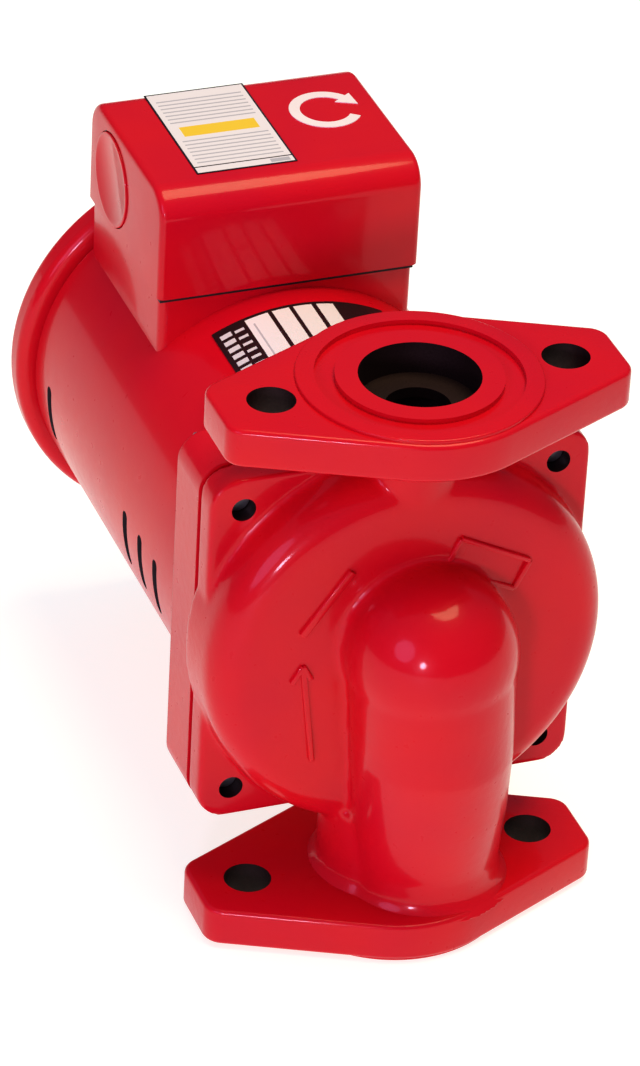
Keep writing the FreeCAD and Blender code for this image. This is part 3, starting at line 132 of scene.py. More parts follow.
def hull(piece):
    only(piece)
    bpy.ops.object.mode_set(mode="EDIT")
    bpy.ops.mesh.select_all(action="SELECT")
    bpy.ops.mesh.convex_hull()
    bpy.ops.mesh.dissolve_limited(angle_limit=math.radians(0.3))
    bpy.ops.object.mode_set(mode="OBJECT")
    return piece


def smooth(piece, angle=32.0):
    # Weld stray points, then shade smooth up to the given angle.
    only(piece)
    bpy.ops.object.mode_set(mode="EDIT")
    bpy.ops.mesh.select_all(action="SELECT")
    bpy.ops.mesh.remove_doubles(threshold=0.000004)
    bpy.ops.mesh.dissolve_degenerate(threshold=0.000002)
    bpy.ops.object.mode_set(mode="OBJECT")
    piece.data.validate()
    bpy.ops.object.shade_smooth_by_angle(angle=math.radians(angle))
    return piece


def flange(name, bottom):
    # Stretch a hull round the middle circle and the two rounded ends, then add the boss and
    # cut the groove, the port, the bolt holes and the narrower passage behind the port.
    face = 0.0 if bottom else HEIGHT
    inward = 1.0 if bottom else -1.0

    def span(start, end):
        return sorted((face + inward * start, face + inward * end))

    plate = round_bar(name, FLANGE_MIDDLE_R, *span(BOSS_RISE, FLANGE_T), sides=160)
    for x in (-49.0, 49.0):
        for y in (-7.0, 7.0):
            end = round_bar("end", FLANGE_END_R, *span(BOSS_RISE, FLANGE_T), x, y, sides=64)
            plate = join(plate, end)
    ease_edges(hull(plate), 1.4, 4)
    add(plate, ease_edges(round_bar("boss", BOSS_R, *span(0.0, 2.0), sides=160), 0.45, 3))
    low, high = span(-1.0, 1.5)
    groove = cut(round_bar("groove", GROOVE_OUT_R, low, high),
                 round_bar("island", GROOVE_IN_R, low - 1, high + 1))
    port = round_bar("port", PORT_R, *span(-1.0, 9.0))
    holes = [round_bar("hole", BOLT_HOLE_R, *span(-1.0, 14.0), x, sides=64)
             for x in (-BOLT_X, BOLT_X)]
    passage = round_bar("passage", 14.5 if bottom else 8.5, *span(-1.0, 14.0))
    cut(plate, groove, port, passage, *holes)
    return ease_edges(plate, 0.3, 2, 50.0)


def srgb(code):
    # Colour from its six-digit sRGB code, made linear for the shader.
    parts = [int(code[i:i + 2], 16) / 255.0 for i in (0, 2, 4)]
    return tuple(c / 12.92 if c <= 0.04045 else ((c + 0.055) / 1.055) ** 2.4
                 for c in parts) + (1.0,)


def node(owner, kind, links=None, **settings):
    # Add one shader node; settings name its properties or its input sockets.
    tree = owner.node_tree
    new = tree.nodes.new("ShaderNode" + kind)
    for key, value in settings.items():
        if hasattr(new, key):
            setattr(new, key, value)
        else:
            new.inputs[key.replace("_", " ")].default_value = value
    for socket, source in (links or {}).items():
        tree.links.new(source, new.inputs[socket])
    return new


def blank_material(name):
    material = bpy.data.materials.new(name)
    material.use_nodes = True
    material.node_tree.nodes.clear()
    return material


def two_tone(material, factor, first, second):
    tone = node(material, "Mix", {"Factor": factor}, data_type="RGBA")
    tone.inputs[6].default_value = srgb(first)
    tone.inputs[7].default_value = srgb(second)
    return tone.outputs[2]


def red_enamel(name, peel_mm, peel, grit):
    # Glossy red enamel over metal: deep even colour that drifts over about 36 mm, a wet top
    # coat, slight orange peel every peel_mm, and the 0.5 mm grain of the metal below.
    material = blank_material(name)
    spot = node(material, "TexCoord").outputs["Object"]
    broad = node(material, "TexNoise", {"Vector": spot}, Scale=28.0, Detail=3.0)
    ripple = node(material, "TexNoise", {"Vector": spot}, Scale=1000.0 / peel_mm, Detail=2.0)
    grain = node(material, "TexNoise", {"Vector": spot}, Scale=2200.0, Detail=3.0, Roughness=0.6)
    tone = two_tone(material, broad.outputs["Fac"], "C20A2C", "DA181C")
    gloss = node(material, "MapRange", {"Value": ripple.outputs["Fac"]}, To_Min=0.24, To_Max=0.36)
    peel_bump = node(material, "Bump", {"Height": ripple.outputs["Fac"]},
                     Strength=peel, Distance=0.0002)
    grit_bump = node(material, "Bump", {
        "Height": grain.outputs["Fac"], "Normal": peel_bump.outputs["Normal"]},
        Strength=grit, Distance=0.0001)
    paint = node(material, "BsdfPrincipled", {
        "Base Color": tone, "Roughness": gloss.outputs["Result"],
        "Normal": grit_bump.outputs["Normal"]},
        Specular_IOR_Level=0.1, Coat_Weight=0.34, Coat_Roughness=0.09)
    node(material, "OutputMaterial", {"Surface": paint.outputs["BSDF"]})
    return material


def worn(name, light, dark, metal, rough, scale, relief, stretch=(1.0, 1.0, 1.0), bands=0.0):
    # Two-tone surface with uneven gloss. Scale counts grains in a metre, so 1000 is a grain of
    # 1 mm; stretch draws the grain out along an axis; bands adds turned or rolled lines around
    # the motor axis.
    material = blank_material(name)
    spot = node(material, "TexCoord").outputs["Object"]
    drawn = node(material, "Mapping", {"Vector": spot}, Scale=stretch)
    grain = node(material, "TexNoise", {"Vector": drawn.outputs["Vector"]}, Scale=scale, Detail=4.0)
    cloud = node(material, "TexNoise", {"Vector": spot}, Scale=60.0, Detail=2.0)
    tone = two_tone(material, cloud.outputs["Fac"], dark, light)
    gloss = node(material, "MapRange", {"Value": grain.outputs["Fac"]},
                 To_Min=rough * 0.75, To_Max=rough * 1.3)
    height = grain.outputs["Fac"]
    if bands:
        rows = node(material, "TexWave", {"Vector": spot}, Scale=bands, Distortion=0.4,
                    wave_type="BANDS", bands_direction="Y")
        both = node(material, "Math", {0: height, 1: rows.outputs["Fac"]}, operation="ADD")
        height = both.outputs[0]
    bump = node(material, "Bump", {"Height": height}, Strength=relief, Distance=0.0001)
    surface = node(material, "BsdfPrincipled", {
        "Base Color": tone, "Roughness": gloss.outputs["Result"],
        "Normal": bump.outputs["Normal"]}, Metallic=metal)
    node(material, "OutputMaterial", {"Surface": surface.outputs["BSDF"]})
    return material


def finish(piece, material, body, slot, *nodes):
    piece.data.materials.clear()
    piece.data.materials.append(material)
    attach(piece, body)
    if nodes:
        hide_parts(*nodes)


def paint_shade_with(piece, material, test):
    # Give the faces that pass the test the second, dark material, which paints shade into holes and
    # slots; test gets each face's middle and normal.
    piece.data.materials.append(material)
    for face in piece.data.polygons:
        if test(face.center * 1000.0, face.normal):
            face.material_index = 1


def in_flange(c, n):
    # Inside the port, below its eased rim, or on the wall of a bolt hole.
    port = math.hypot(c.x, c.y) < PORT_R + 0.05 and 1.6 < c.z < HEIGHT - 1.6
    return port or (math.hypot(abs(c.x) - BOLT_X, c.y) < BOLT_HOLE_R + 0.25 and abs(n.z) < 0.4)


bottom_flange = flange("bottom_flange", True)
top_flange = flange("top_flange", False)
# The casting is sprayed, so its sand grain shows through. The passages and holes get bare iron
# coloured darker than bare iron, as painted shade in these hollows.
cast_enamel = red_enamel("red enamel on cast iron", 2.6, 0.35, 0.25)
bare_iron_and_shade = worn("bare cast iron with painted shade", "3C2A28", "241817", 0.6, 0.55, 1400.0, 0.6)
for piece in (bottom_flange, top_flange):
    finish(smooth(piece), cast_enamel, "pump_frame", "red_casting")
    paint_shade_with(piece, bare_iron_and_shade, in_flange)

# --- Casing body ------------------------------------------------------------------------
# Grey iron casting between the flanges: a shallow round bowl with four ears, a suction pipe
# that climbs in front of it to a round elbow, and a narrow discharge neck. Its corners run
# into each other in soft sand-cast fillets.
BOWL_R = 55.0
BOWL_FRONT_Y = -8.5
JOINT_Y = 15.5
EAR_HALF = 52.5
EAR_FRONT_Y = 6.7
EAR_SCREW = 43.5
EAR_HOLE_R = 3.3
ELBOW = (1.0, -17.5, 88.5)
ELBOW_R = 22.8
EARS = [(sx * EAR_SCREW, MOTOR_Z + sz * EAR_SCREW) for sx in (-1, 1) for sz in (-1, 1)]


def block(name, x0, x1, y0, y1, z0, z1):
    drop_selection()
    bpy.ops.mesh.primitive_cube_add(size=0.001)
    piece = bpy.context.object
    piece.name = name
    piece.scale = (x1 - x0, y1 - y0, z1 - z0)
    piece.location = mm((x0 + x1) / 2.0, (y0 + y1) / 2.0, (z0 + z1) / 2.0)
    return settle(piece)


def pick(piece, kind, test):
    # Select faces or edges of a piece by a test on their middle, in millimetres.
    only(piece)
    mesh = piece.data
    for part in (mesh.vertices, mesh.edges, mesh.polygons):
        part.foreach_set("select", [False] * len(part))
    points = [v.co * 1000.0 for v in mesh.vertices]
    for part in getattr(mesh, kind):
        ends = [points[i] for i in part.vertices]
        if test(sum(ends, Vector()) / len(ends), ends):
            part.select = True
    bpy.ops.object.mode_set(mode="EDIT")
    bpy.ops.mesh.select_mode(type="EDGE" if kind == "edges" else "FACE")


def leave_edit():
    bpy.ops.object.mode_set(mode="OBJECT")


def round_picked(piece, radius, segments, test):
    pick(piece, "edges", test)
    bpy.ops.mesh.bevel(offset=radius / 1000.0, segments=segments, affect="EDGES")
    leave_edit()
    return piece


def bowl():
    # Turned blank whose front rim is rounded over, then crowned a little.
    piece = round_bar("bowl", BOWL_R, BOWL_FRONT_Y, JOINT_Y, 0.0, MOTOR_Z, "Y", 160)
    round_picked(piece, 9.5, 10, lambda c, ends: all(p.y < BOWL_FRONT_Y + 0.5 for p in ends))
    pick(piece, "polygons", lambda c, ends: len(ends) > 20 and c.y < 0)
    bpy.ops.mesh.inset(thickness=0.022)
    bpy.ops.transform.translate(value=(0, -0.0013, 0))
    leave_edit()
    return piece


def stack(name, rings, sides=96):
    # Pipe drawn upwards ring by ring: each ring is (x, y, z, radius along x, radius along y).
    x, y, z, rx, ry = rings[0]
    drop_selection()
    bpy.ops.mesh.primitive_circle_add(vertices=sides, radius=0.001, fill_type="NGON")
    piece = bpy.context.object
    piece.name = name
    piece.scale = (rx, ry, 1.0)
    piece.location = mm(x, y, z)
    settle(piece)
    bpy.ops.object.mode_set(mode="EDIT")
    bpy.ops.mesh.select_all(action="SELECT")
    for nx, ny, nz, nrx, nry in rings[1:]:
        step = mm(nx - x, ny - y, nz - z)
        bpy.ops.mesh.extrude_region_move(TRANSFORM_OT_translate={"value": step})
        bpy.ops.transform.resize(value=(nrx / rx, nry / ry, 1.0),
                                 center_override=mm(nx, ny, nz))
        x, y, z, rx, ry = nx, ny, nz, nrx, nry
    bpy.ops.mesh.select_all(action="SELECT")
    bpy.ops.mesh.normals_make_consistent(inside=False)
    bpy.ops.object.mode_set(mode="OBJECT")
    return piece


def ear_plate():
    piece = block("ears", -EAR_HALF, EAR_HALF, EAR_FRONT_Y, JOINT_Y,
                  MOTOR_Z - EAR_HALF, MOTOR_Z + EAR_HALF)
    return round_picked(piece, 8.0, 8, lambda c, ends: abs(ends[0].y - ends[1].y) > 5.0)


def ball(name, radius, x, y, z):
    drop_selection()
    bpy.ops.mesh.primitive_uv_sphere_add(segments=64, ring_count=40, radius=radius / 1000.0,
                                         location=mm(x, y, z))
    piece = bpy.context.object
    piece.name = name
    return settle(piece)


def bar_on_face(x0, z0, x1, z1, width, face=-10.2, deep=-4.0):
    # Raised bar between two places on the bowl's face.
    length = math.hypot(x1 - x0, z1 - z0)
    piece = block("bar", -width / 2, width / 2, face, deep, 0.0, length)
    piece.rotation_euler = (0, math.atan2(x1 - x0, z1 - z0), 0)
    piece.location = mm(x0, 0, z0)
    return settle(piece)


suction = stack("suction", [
    (6.5, -8.0, 10.0, 25.0, 25.0), (6.5, -8.0, 12.2, 22.4, 22.4), (6.3, -8.3, 15.0, 20.6, 20.6),
    (6.0, -8.9, 20.0, 20.1, 20.1), (5.0, -12.6, 38.0, 20.9, 20.9), (3.2, -16.6, 58.0, 21.5, 21.5),
    (1.9, -17.4, 76.0, 21.8, 21.8), (1.0, -17.5, 88.5, 22.2, 22.2)])
stub = stack("stub", [
    (0, 0, 10.0, 23.5, 23.5), (0, 0, 12.2, 21.6, 21.6), (0, 0, 15.0, 19.6, 19.6),
    (0, 0, 34.0, 19.5, 19.5)])
neck = stack("neck", [
    (0, 2.0, 118.0, 22.0, 9.8), (0, 2.0, 124.0, 17.5, 10.2), (0, 2.0, 130.0, 14.0, 10.8),
    (0, 2.0, 136.0, 12.0, 11.3), (0, 2.0, 141.0, 11.5, 11.5), (0, 2.0, 145.0, 11.9, 11.9),
    (0, 2.0, 148.0, 13.6, 13.6), (0, 2.0, 150.0, 16.4, 16.4), (0, 2.0, 151.5, 18.5, 18.5)])
casing_body = join(
    bowl(), ear_plate(), suction, stub, neck, ball("dome", ELBOW_R, *ELBOW),
    round_bar("elbow", ELBOW_R - 0.4, ELBOW[1], 5.0, ELBOW[0], ELBOW[2], "Y"))
casing_body.name = "casing_body"
apply(casing_body, "REMESH", mode="VOXEL", voxel_size=0.00085)
apply(casing_body, "SMOOTH", factor=0.5, iterations=9)

# A short bar and a flow arrow stand up on the left of the bowl; a tilted frame on its right.
marks = [bar_on_face(-32.0, 94.0, -19.0, 111.5, 2.2), bar_on_face(-27.5, 54.0, -31.3, 84.0, 1.5),
         bar_on_face(-34.2, 79.5, -31.3, 84.5, 1.5), bar_on_face(-28.8, 80.0, -31.3, 84.5, 1.5)]
tilt = math.radians(27.0)
corners = [(18.5 + u * math.cos(tilt) + w * math.sin(tilt),
            107.3 - u * math.sin(tilt) + w * math.cos(tilt))
           for u, w in ((-11, -4.5), (11, -4.5), (11, 4.5), (-11, 4.5))]
for start, end in zip(corners, corners[1:] + corners[:1]):
    marks.append(bar_on_face(*start, *end, 1.3))
for mark in marks:
    ease_edges(mark, 0.35, 2)
add(casing_body, *marks)

# The water way is cored: straight through the neck, and bent up through the suction pipe.
throat = stack("throat_cut", [
    (0, 2, 118, 8, 8), (0, 2, 145, 8, 8), (0, 0, 153, 15.8, 15.8), (0, 0, 156, 15.8, 15.8)])
inlet = stack("inlet_cut", [
    (0, 0, 8, 15.9, 15.9), (0, 0, 11, 15.9, 15.9), (2.3, -9.0, 20, 15.4, 13.0),
    (4.6, -17.3, 32, 15, 10.5), (3, -20.5, 56, 14.4, 14.3), (1.5, -20.5, 90, 13.5, 13.5)])
holes = [round_bar("ear_hole", EAR_HOLE_R, -12.0, 14.0, x, z, "Y", 48) for x, z in EARS]
relief = block("stub_relief", -30.0, 30.0, JOINT_Y, 26.0, 26.0, 40.0)
cut(casing_body, throat, inlet, relief, *holes)

WAY = [(0, 0, 8), (0, 0, 11), (2.3, -9.0, 20), (4.6, -17.3, 32), (3, -20.5, 56), (1.5, -20.5, 92)]
WAY_REACH = 17.0


def in_casing(c, n):
    # Inside the ear holes, the throat or the suction passage.
    if any(math.hypot(c.x - x, c.z - z) < EAR_HOLE_R + 0.1 for x, z in EARS):
        return abs(n.y) < 0.5
    if c.z > 120.0:
        return math.hypot(c.x, c.y) < WAY_REACH and n.x * c.x + n.y * (c.y - 1.0) < 0.0
    for (x0, y0, z0), (x1, y1, z1) in zip(WAY, WAY[1:]):
        if z0 <= c.z < z1:
            share = (c.z - z0) / (z1 - z0)
            dx, dy = c.x - x0 - share * (x1 - x0), c.y - y0 - share * (y1 - y0)
            return math.hypot(dx, dy) < WAY_REACH and n.x * dx + n.y * dy < 0.0
    return False


finish(smooth(casing_body, 50.0), cast_enamel, "pump_frame", "red_casting", "volute_casing")
# The ear holes, throat and suction passage get the dark iron as painted shade.
paint_shade_with(casing_body, bare_iron_and_shade, in_casing)

# --- Motor bracket and end bell -----------------------------------------------------------
# Square iron plate behind the bowl and the vented rear cover, both die-trimmed and painted.
# Their corners are only broken, so the paint shows a fine bright line along each edge.


def repaint(material, *names):
    for name in names:
        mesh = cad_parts[name].data
        for i in range(len(mesh.materials)):
            mesh.materials[i] = material


def soft_corners(material, radius_mm):
    # Shade the corners as if they were rounded, under the paint's own ripple.
    tree = material.node_tree
    rounded = node(material, "Bevel", Radius=radius_mm / 1000.0)
    first = [n for n in tree.nodes if n.type == "BUMP" and not n.inputs["Normal"].is_linked][0]
    tree.links.new(rounded.outputs["Normal"], first.inputs["Normal"])
    return material


# Milled iron and die-cast aluminium lie smoother under the paint than the sand casting.
bracket_enamel = soft_corners(red_enamel("red enamel on machined iron", 2.6, 0.30, 0.2), 0.7)
bell_enamel = soft_corners(red_enamel("red enamel on die cast aluminium", 3.5, 0.2, 0.12), 0.4)
repaint(bracket_enamel, "motor_bracket")
repaint(bell_enamel, "end_bell")

# --- Motor housing ------------------------------------------------------------------------
# Smooth die-cast tube with a square terminal pedestal grown out of its top and four cooling
# slots low on each side. The pedestal's corners are rounded and its foot is filleted.
SHELL_R = 51.5
BORE_R = 49.0
SHELL_FRONT_Y = 33.0
SHELL_BACK_Y = 154.5
PEDESTAL_HALF_X = 36.2
PEDESTAL_FRONT_Y = 96.5
PEDESTAL_TOP_Z = 133.6
POCKET_FLOOR_Z = 126.07
FOOT_Z = 125.0
WELL_Y = 117.5
VENTS_Y = (50.5, 63.0, 75.5, 142.0)
VENT_HALF_W = 1.8
COVER_SCREW_Z = 140.5
COVER_SCREWS_X = (-26.0, 26.0)

housing = round_bar("motor_shell", SHELL_R, SHELL_FRONT_Y, SHELL_BACK_Y, 0.0, MOTOR_Z, "Y", 192)
pedestal = block("pedestal", -PEDESTAL_HALF_X, PEDESTAL_HALF_X, PEDESTAL_FRONT_Y, SHELL_BACK_Y,
                 115.0, PEDESTAL_TOP_Z)
round_picked(pedestal, 2.2, 5, lambda c, ends: abs(ends[0].z - ends[1].z) > 5.0)
add(housing, pedestal)
ease_edges(housing, 1.1, 4, 28.0)
pocket = block("pocket", -33.0, 33.0, 99.7, 151.3, POCKET_FLOOR_Z, 136.0)
pads = [block("block_pad", -17.0, 17.0, 99.5, 108.0, FOOT_Z, 134.0),
        block("capacitor_pad", 0.0, 12.0, 127.9, 139.1, FOOT_Z, 134.0),
        round_bar("well", 9.5, FOOT_Z, PEDESTAL_TOP_Z, 0.0, WELL_Y, sides=64),
        block("lug", 22.0, 30.0, 149.4, 153.9, FOOT_Z, 146.0),
        block("lug", -30.0, -22.0, 149.4, 153.9, FOOT_Z, 146.0)]
cut(housing, pocket)
add(housing, *pads)
vents = []
for y in VENTS_Y:
    vent = block("vent", -60.0, 60.0, y - VENT_HALF_W, y + VENT_HALF_W, 66.0, 83.0)
    vents.append(round_picked(vent, 1.75, 6, lambda c, ends: abs(ends[0].x - ends[1].x) > 50.0))
bore = round_bar("bore", BORE_R, 30.0, 158.0, 0.0, MOTOR_Z, "Y", 192)
lead_hole = round_bar("lead_hole", 7.0, 120.0, 140.0, 0.0, WELL_Y, sides=64)
screw_holes = [round_bar("screw_hole", 1.9, 145.0, 160.0, x, COVER_SCREW_Z, "Y", 32)
               for x in COVER_SCREWS_X]
ground_hole = round_bar("ground_hole", 2.2, 123.0, 130.0, 29.3, 104.5, sides=32)
cut(housing, bore, lead_hole, ground_hole, *vents, *screw_holes)


def in_housing(c, n):
    # On the wall of a vent, or on the bore's own wall.
    depth = math.hypot(c.x, c.z - MOTOR_Z)
    vent = any(abs(c.y - y) < VENT_HALF_W + 0.15 for y in VENTS_Y)
    if vent and depth < SHELL_R - 0.3 and 60.0 < c.z < 90.0:
        return True
    return depth < BORE_R + 0.1 and n.x * c.x + n.z * (c.z - MOTOR_Z) < -1.0


# Die-cast skin gives longer, flatter orange peel. The vent walls and the bore get a dark grey that
# is painted shade.
housing_enamel = red_enamel("red enamel on aluminium", 3.5, 0.16, 0.10)
vent_and_bore_shade = worn("dark grey painted shade in vents and bore", "5A5054", "2E2A2D", 0.7, 0.55, 1000.0, 0.4)
finish(smooth(housing), housing_enamel, "pump_frame", "red_housing", "motor_housing")
# Vent walls and bore faces take the dark grey painted shade.
paint_shade_with(housing, vent_and_bore_shade, in_housing)

# --- Terminal box cover -------------------------------------------------------------------
# Deep-drawn sheet steel lid over the pedestal, rounded over at front and back, with a round
# knockout held in each side. It is powder-coated and screwed on from behind.
SHEET_T = 1.6
COVER_HALF_X = 37.2
COVER_FRONT_Y = 95.0
COVER_BACK_Y = 155.5
COVER_FOOT_Z = 135.2
COVER_TOP_Z = 166.6
COVER_BEND = 8.5
KNOCKOUT = (136.0, 150.2)
KNOCKOUT_R = 13.2
DISC_IN_X = 35.6
DISC_OUT_X = 37.7


def lid(name, half_x, y0, y1, z0, z1, bend, edge):
    piece = block(name, -half_x, half_x, y0, y1, z0, z1)
    round_picked(piece, bend, 16, lambda c, ends: (
        c.z > z1 - 0.01 and abs(ends[0].x - ends[1].x) > 5.0))
    return round_picked(piece, edge, 5, lambda c, ends: (
        abs(ends[0].x - ends[1].x) < 0.01 and c.z > z0 + 0.01))


cover = lid("cover_shell", COVER_HALF_X, COVER_FRONT_Y, COVER_BACK_Y, COVER_FOOT_Z, COVER_TOP_Z,
            COVER_BEND, 1.9)
inside = lid("inside", COVER_HALF_X - SHEET_T, COVER_FRONT_Y + SHEET_T, COVER_BACK_Y - SHEET_T,
             133.0, COVER_TOP_Z - SHEET_T, COVER_BEND - SHEET_T, 0.6)
knockouts = round_bar("knockouts", KNOCKOUT_R + 0.3, -40.0, 40.0, *KNOCKOUT, "X", 96)
cover_holes = [round_bar("cover_hole", 2.25, 150.0, 158.0, x, COVER_SCREW_Z, "Y", 48)
               for x in COVER_SCREWS_X]
cut(cover, inside, knockouts, *cover_holes)
# Powder coat on sheet: the smoothest of the reds, with wide shallow ripples.
sheet_enamel = red_enamel("red enamel on sheet steel", 5.0, 0.10, 0.05)
finish(smooth(cover, 40.0), sheet_enamel, "pump_frame", "red_sheet", "terminal_cover")

discs = []
for side in (-1, 1):
    low, high = sorted((side * DISC_IN_X, side * DISC_OUT_X))
    disc = round_bar("knockout", KNOCKOUT_R, low, high, *KNOCKOUT, "X", 96)
    pick(disc, "polygons", lambda c, ends: abs(c.x - side * DISC_OUT_X) < 0.01)
    bpy.ops.mesh.inset(thickness=0.0011)
    bpy.ops.mesh.inset(thickness=0.0006)
    bpy.ops.transform.translate(value=(-0.00035 * side, 0, 0))
    leave_edit()
    discs.append(ease_edges(disc, 0.25, 3, 60.0))
discs = join(*discs)
discs.name = "knockout_pair"
finish(smooth(discs), sheet_enamel, "pump_frame", "red_sheet", "knockout_discs")

# --- Plates and printing ------------------------------------------------------------------
# Thin printed plates: a black one wrapped on the motor with white write-in boxes, and a
# white one on the cover with a yellow band. All boxes are blank.


def printed(name, base, roughness, patches):
    # Satin printed film with a faint ripple: flat ink rectangles, each (ink, x0, x1, y0, y1)
    # in millimetres, over a base colour.
    material = blank_material(name)
    spot = node(material, "TexCoord").outputs["Object"]
    axes = node(material, "SeparateXYZ", {"Vector": spot})
    colour = None
    for ink, x0, x1, y0, y1 in patches:
        inside = []
        for axis, low, high in (("X", x0, x1), ("Y", y0, y1)):
            near = node(material, "Math", {0: axes.outputs[axis]}, operation="COMPARE")
            near.inputs[1].default_value = (low + high) / 2000.0
            near.inputs[2].default_value = (high - low) / 2000.0
            inside.append(near.outputs[0])
        both = node(material, "Math", {0: inside[0], 1: inside[1]}, operation="MULTIPLY")
        mix = node(material, "Mix", {"Factor": both.outputs[0]}, data_type="RGBA")
        if colour:
            material.node_tree.links.new(colour, mix.inputs[6])
        else:
            mix.inputs[6].default_value = srgb(base)
        mix.inputs[7].default_value = srgb(ink)
        colour = mix.outputs[2]
    patchy = node(material, "TexNoise", {"Vector": spot}, Scale=600.0, Detail=2.0)
    gloss = node(material, "MapRange", {"Value": patchy.outputs["Fac"]},
                 To_Min=roughness - 0.05, To_Max=roughness + 0.07)
    ripple = node(material, "TexNoise", {"Vector": spot}, Scale=260.0, Detail=2.0)
    bump = node(material, "Bump", {"Height": ripple.outputs["Fac"]},
                Strength=0.15, Distance=0.0002)
    film = node(material, "BsdfPrincipled", {
        "Roughness": gloss.outputs["Result"], "Base Color": colour,
        "Normal": bump.outputs["Normal"]})
    node(material, "OutputMaterial", {"Surface": film.outputs["BSDF"]})
    return material


BLACK, WHITE, GREY, YELLOW, PALE = "15151A", "EDEFF2", "B9BEC6", "F2D43A", "D6D9DE"
RULED_Y = [110.5 + 2.0 * i for i in range(7)] + [133.0 + 2.0 * i for i in range(7)]
label_film = printed("printed polyester film", BLACK, 0.35, [
    (WHITE, -23.5, 4.0, 105.5, 149.5), (YELLOW, -20.5, 1.0, 125.3, 130.6),
    (BLACK, -23.5, 4.0, 108.3, 108.8), (GREY, -2.5, 3.0, 106.0, 107.8)] + [
    (GREY, -22.0, 2.5, y, y + 0.6) for y in RULED_Y])
cells = [(WHITE, -15.5, -9.0, 51.5, 86.8), (WHITE, -7.8, -3.0, 51.5, 86.8),
         (BLACK, -7.8, -3.0, 66.0, 67.6), (WHITE, -1.8, 3.4, 51.5, 86.8),
         (WHITE, 4.8, 9.6, 51.5, 86.8), (GREY, -14.0, -13.5, 55.0, 84.0)]
for i in range(10):
    cells.append((PALE, -23.0, -20.0, 52.6 + 3.4 * i, 54.6 + 3.4 * i))
    cells.append((PALE, -19.2, -16.6, 52.6 + 3.4 * i, 53.8 + 3.4 * i))
plate_film = printed("printed aluminium foil plate", BLACK, 0.4, cells)
# Screen ink dries to a thin satin white with a slight grain.
arrow_ink = worn("white screen ink", "F7F4F6", "EEE9EC", 0.0, 0.45, 600.0, 0.15)
repaint(label_film, "cover_label")
repaint(plate_film, "nameplate")
repaint(arrow_ink, "rotation_mark")

# --- Materials inside ---------------------------------------------------------------------
# Bare, plated and moulded pieces under the paint: turned and ground steel, castings, copper,
# brass, seal faces, rubber and plastics, each with its own machining or moulding texture.

# Bright zinc: cool grey with a soft shine.
repaint(worn("zinc plated steel", "B9BDC2", "8E949B", 1.0, 0.32, 900.0, 0.3),
        "bracket_screws", "through_bolts", "cover_screws", "capacitor_strap",
        "bearing_retaining_ring", "preload_spring")
# Ground and lapped: close to a mirror, with fine rings.
repaint(worn("ground bearing steel", "C8CACC", "A9ACB0", 1.0, 0.14, 1500.0, 0.1, bands=500.0),
        "front_outer_race", "rear_outer_race", "front_inner_race", "rear_inner_race",
        "front_balls", "rear_balls")
# Pressed strip, yellowed by its oil.
repaint(worn("pressed steel cage", "A79B80", "8C8168", 1.0, 0.35, 700.0, 0.2),
        "front_cage", "rear_cage")
# Turned: fine tool rings around the axis.
repaint(worn("turned steel shaft", "B6B9BD", "8F9398", 1.0, 0.25, 1100.0, 0.2, bands=900.0),
        "shaft")
# Drawn wire: darker grey and smooth.
repaint(worn("spring steel wire", "9EA2A8", "7C8187", 1.0, 0.28, 1300.0, 0.15), "seal_spring")
# Stacked sheets: dark, with a line at each sheet's edge, drawn coarser than it is.
repaint(worn("lamination steel stack", "6E7175", "4D5054", 1.0, 0.42, 600.0, 0.5,
             (1.0, 6.0, 1.0), 1250.0), "stator_core", "rotor_core")
# Cast bars and rings: pale and matt.
repaint(worn("cast aluminium", "C4C7CA", "9EA2A6", 1.0, 0.45, 1200.0, 0.6), "rotor_cage")
# Wound wire: brown orange under varnish, grained along each turn.
repaint(worn("enamelled copper wire", "B4612B", "8A4118", 1.0, 0.30, 500.0, 0.8,
             (1.0, 8.0, 1.0)), "stator_windings")
# Turned brass: warm yellow with fine rings.
repaint(worn("turned brass", "C9A44E", "A8832F", 1.0, 0.25, 1000.0, 0.2, bands=800.0),
        "impeller_insert", "impeller_nut", "terminal_screws")
# Stamped stainless: bright and even.
repaint(worn("stamped stainless cup", "BFC1C4", "9DA0A4", 1.0, 0.25, 800.0, 0.15),
        "seal_seat_cup")
# Lapped ceramic: off-white and smooth.
repaint(worn("alumina ceramic", "F0EEE8", "DEDBD2", 0.0, 0.30, 1500.0, 0.05), "seal_seat")
# Pressed carbon: near black with a dull sheen.
repaint(worn("carbon graphite", "34363A", "222427", 0.0, 0.38, 1600.0, 0.15), "seal_head")
# Moulded rubber: black and matt.
repaint(worn("black rubber", "26272A", "17181A", 0.0, 0.62, 900.0, 0.4),
        "seal_bellows", "slinger", "lead_grommet", "cover_gasket")
# Glass filled plastic: charcoal with a fine speckle.
repaint(worn("glass filled black plastic", "303236", "202226", 0.0, 0.48, 1800.0, 0.35),
        "impeller", "cooling_fan", "thermal_protector")
# Phenolic: dark brown with a hard gloss.
repaint(worn("phenolic moulding", "4A2A1C", "352014", 0.0, 0.35, 1400.0, 0.15),
        "terminal_block")
# Drawn can: pale, with the draw lines along it.
repaint(worn("drawn aluminium can", "C9CCD0", "ABAFB4", 1.0, 0.28, 800.0, 0.25,
             (12.0, 1.0, 1.0)), "run_capacitor")
# Vinyl: even blue, half gloss.
repaint(worn("blue vinyl wire insulation", "2B4C9A", "1F3A7C", 0.0, 0.40, 700.0, 0.2),
        "lead_wires", "capacitor_leads")
# Dyed zinc: green with a metal shine.
repaint(worn("green chromate on zinc", "4E8A4A", "35693A", 0.8, 0.33, 900.0, 0.25),
        "ground_screw")
# Pressed fibre: grey brown, rough and dry.
repaint(worn("pressed gasket fibre", "4B463F", "37332E", 0.0, 0.85, 1700.0, 0.9),
        "casing_gasket")

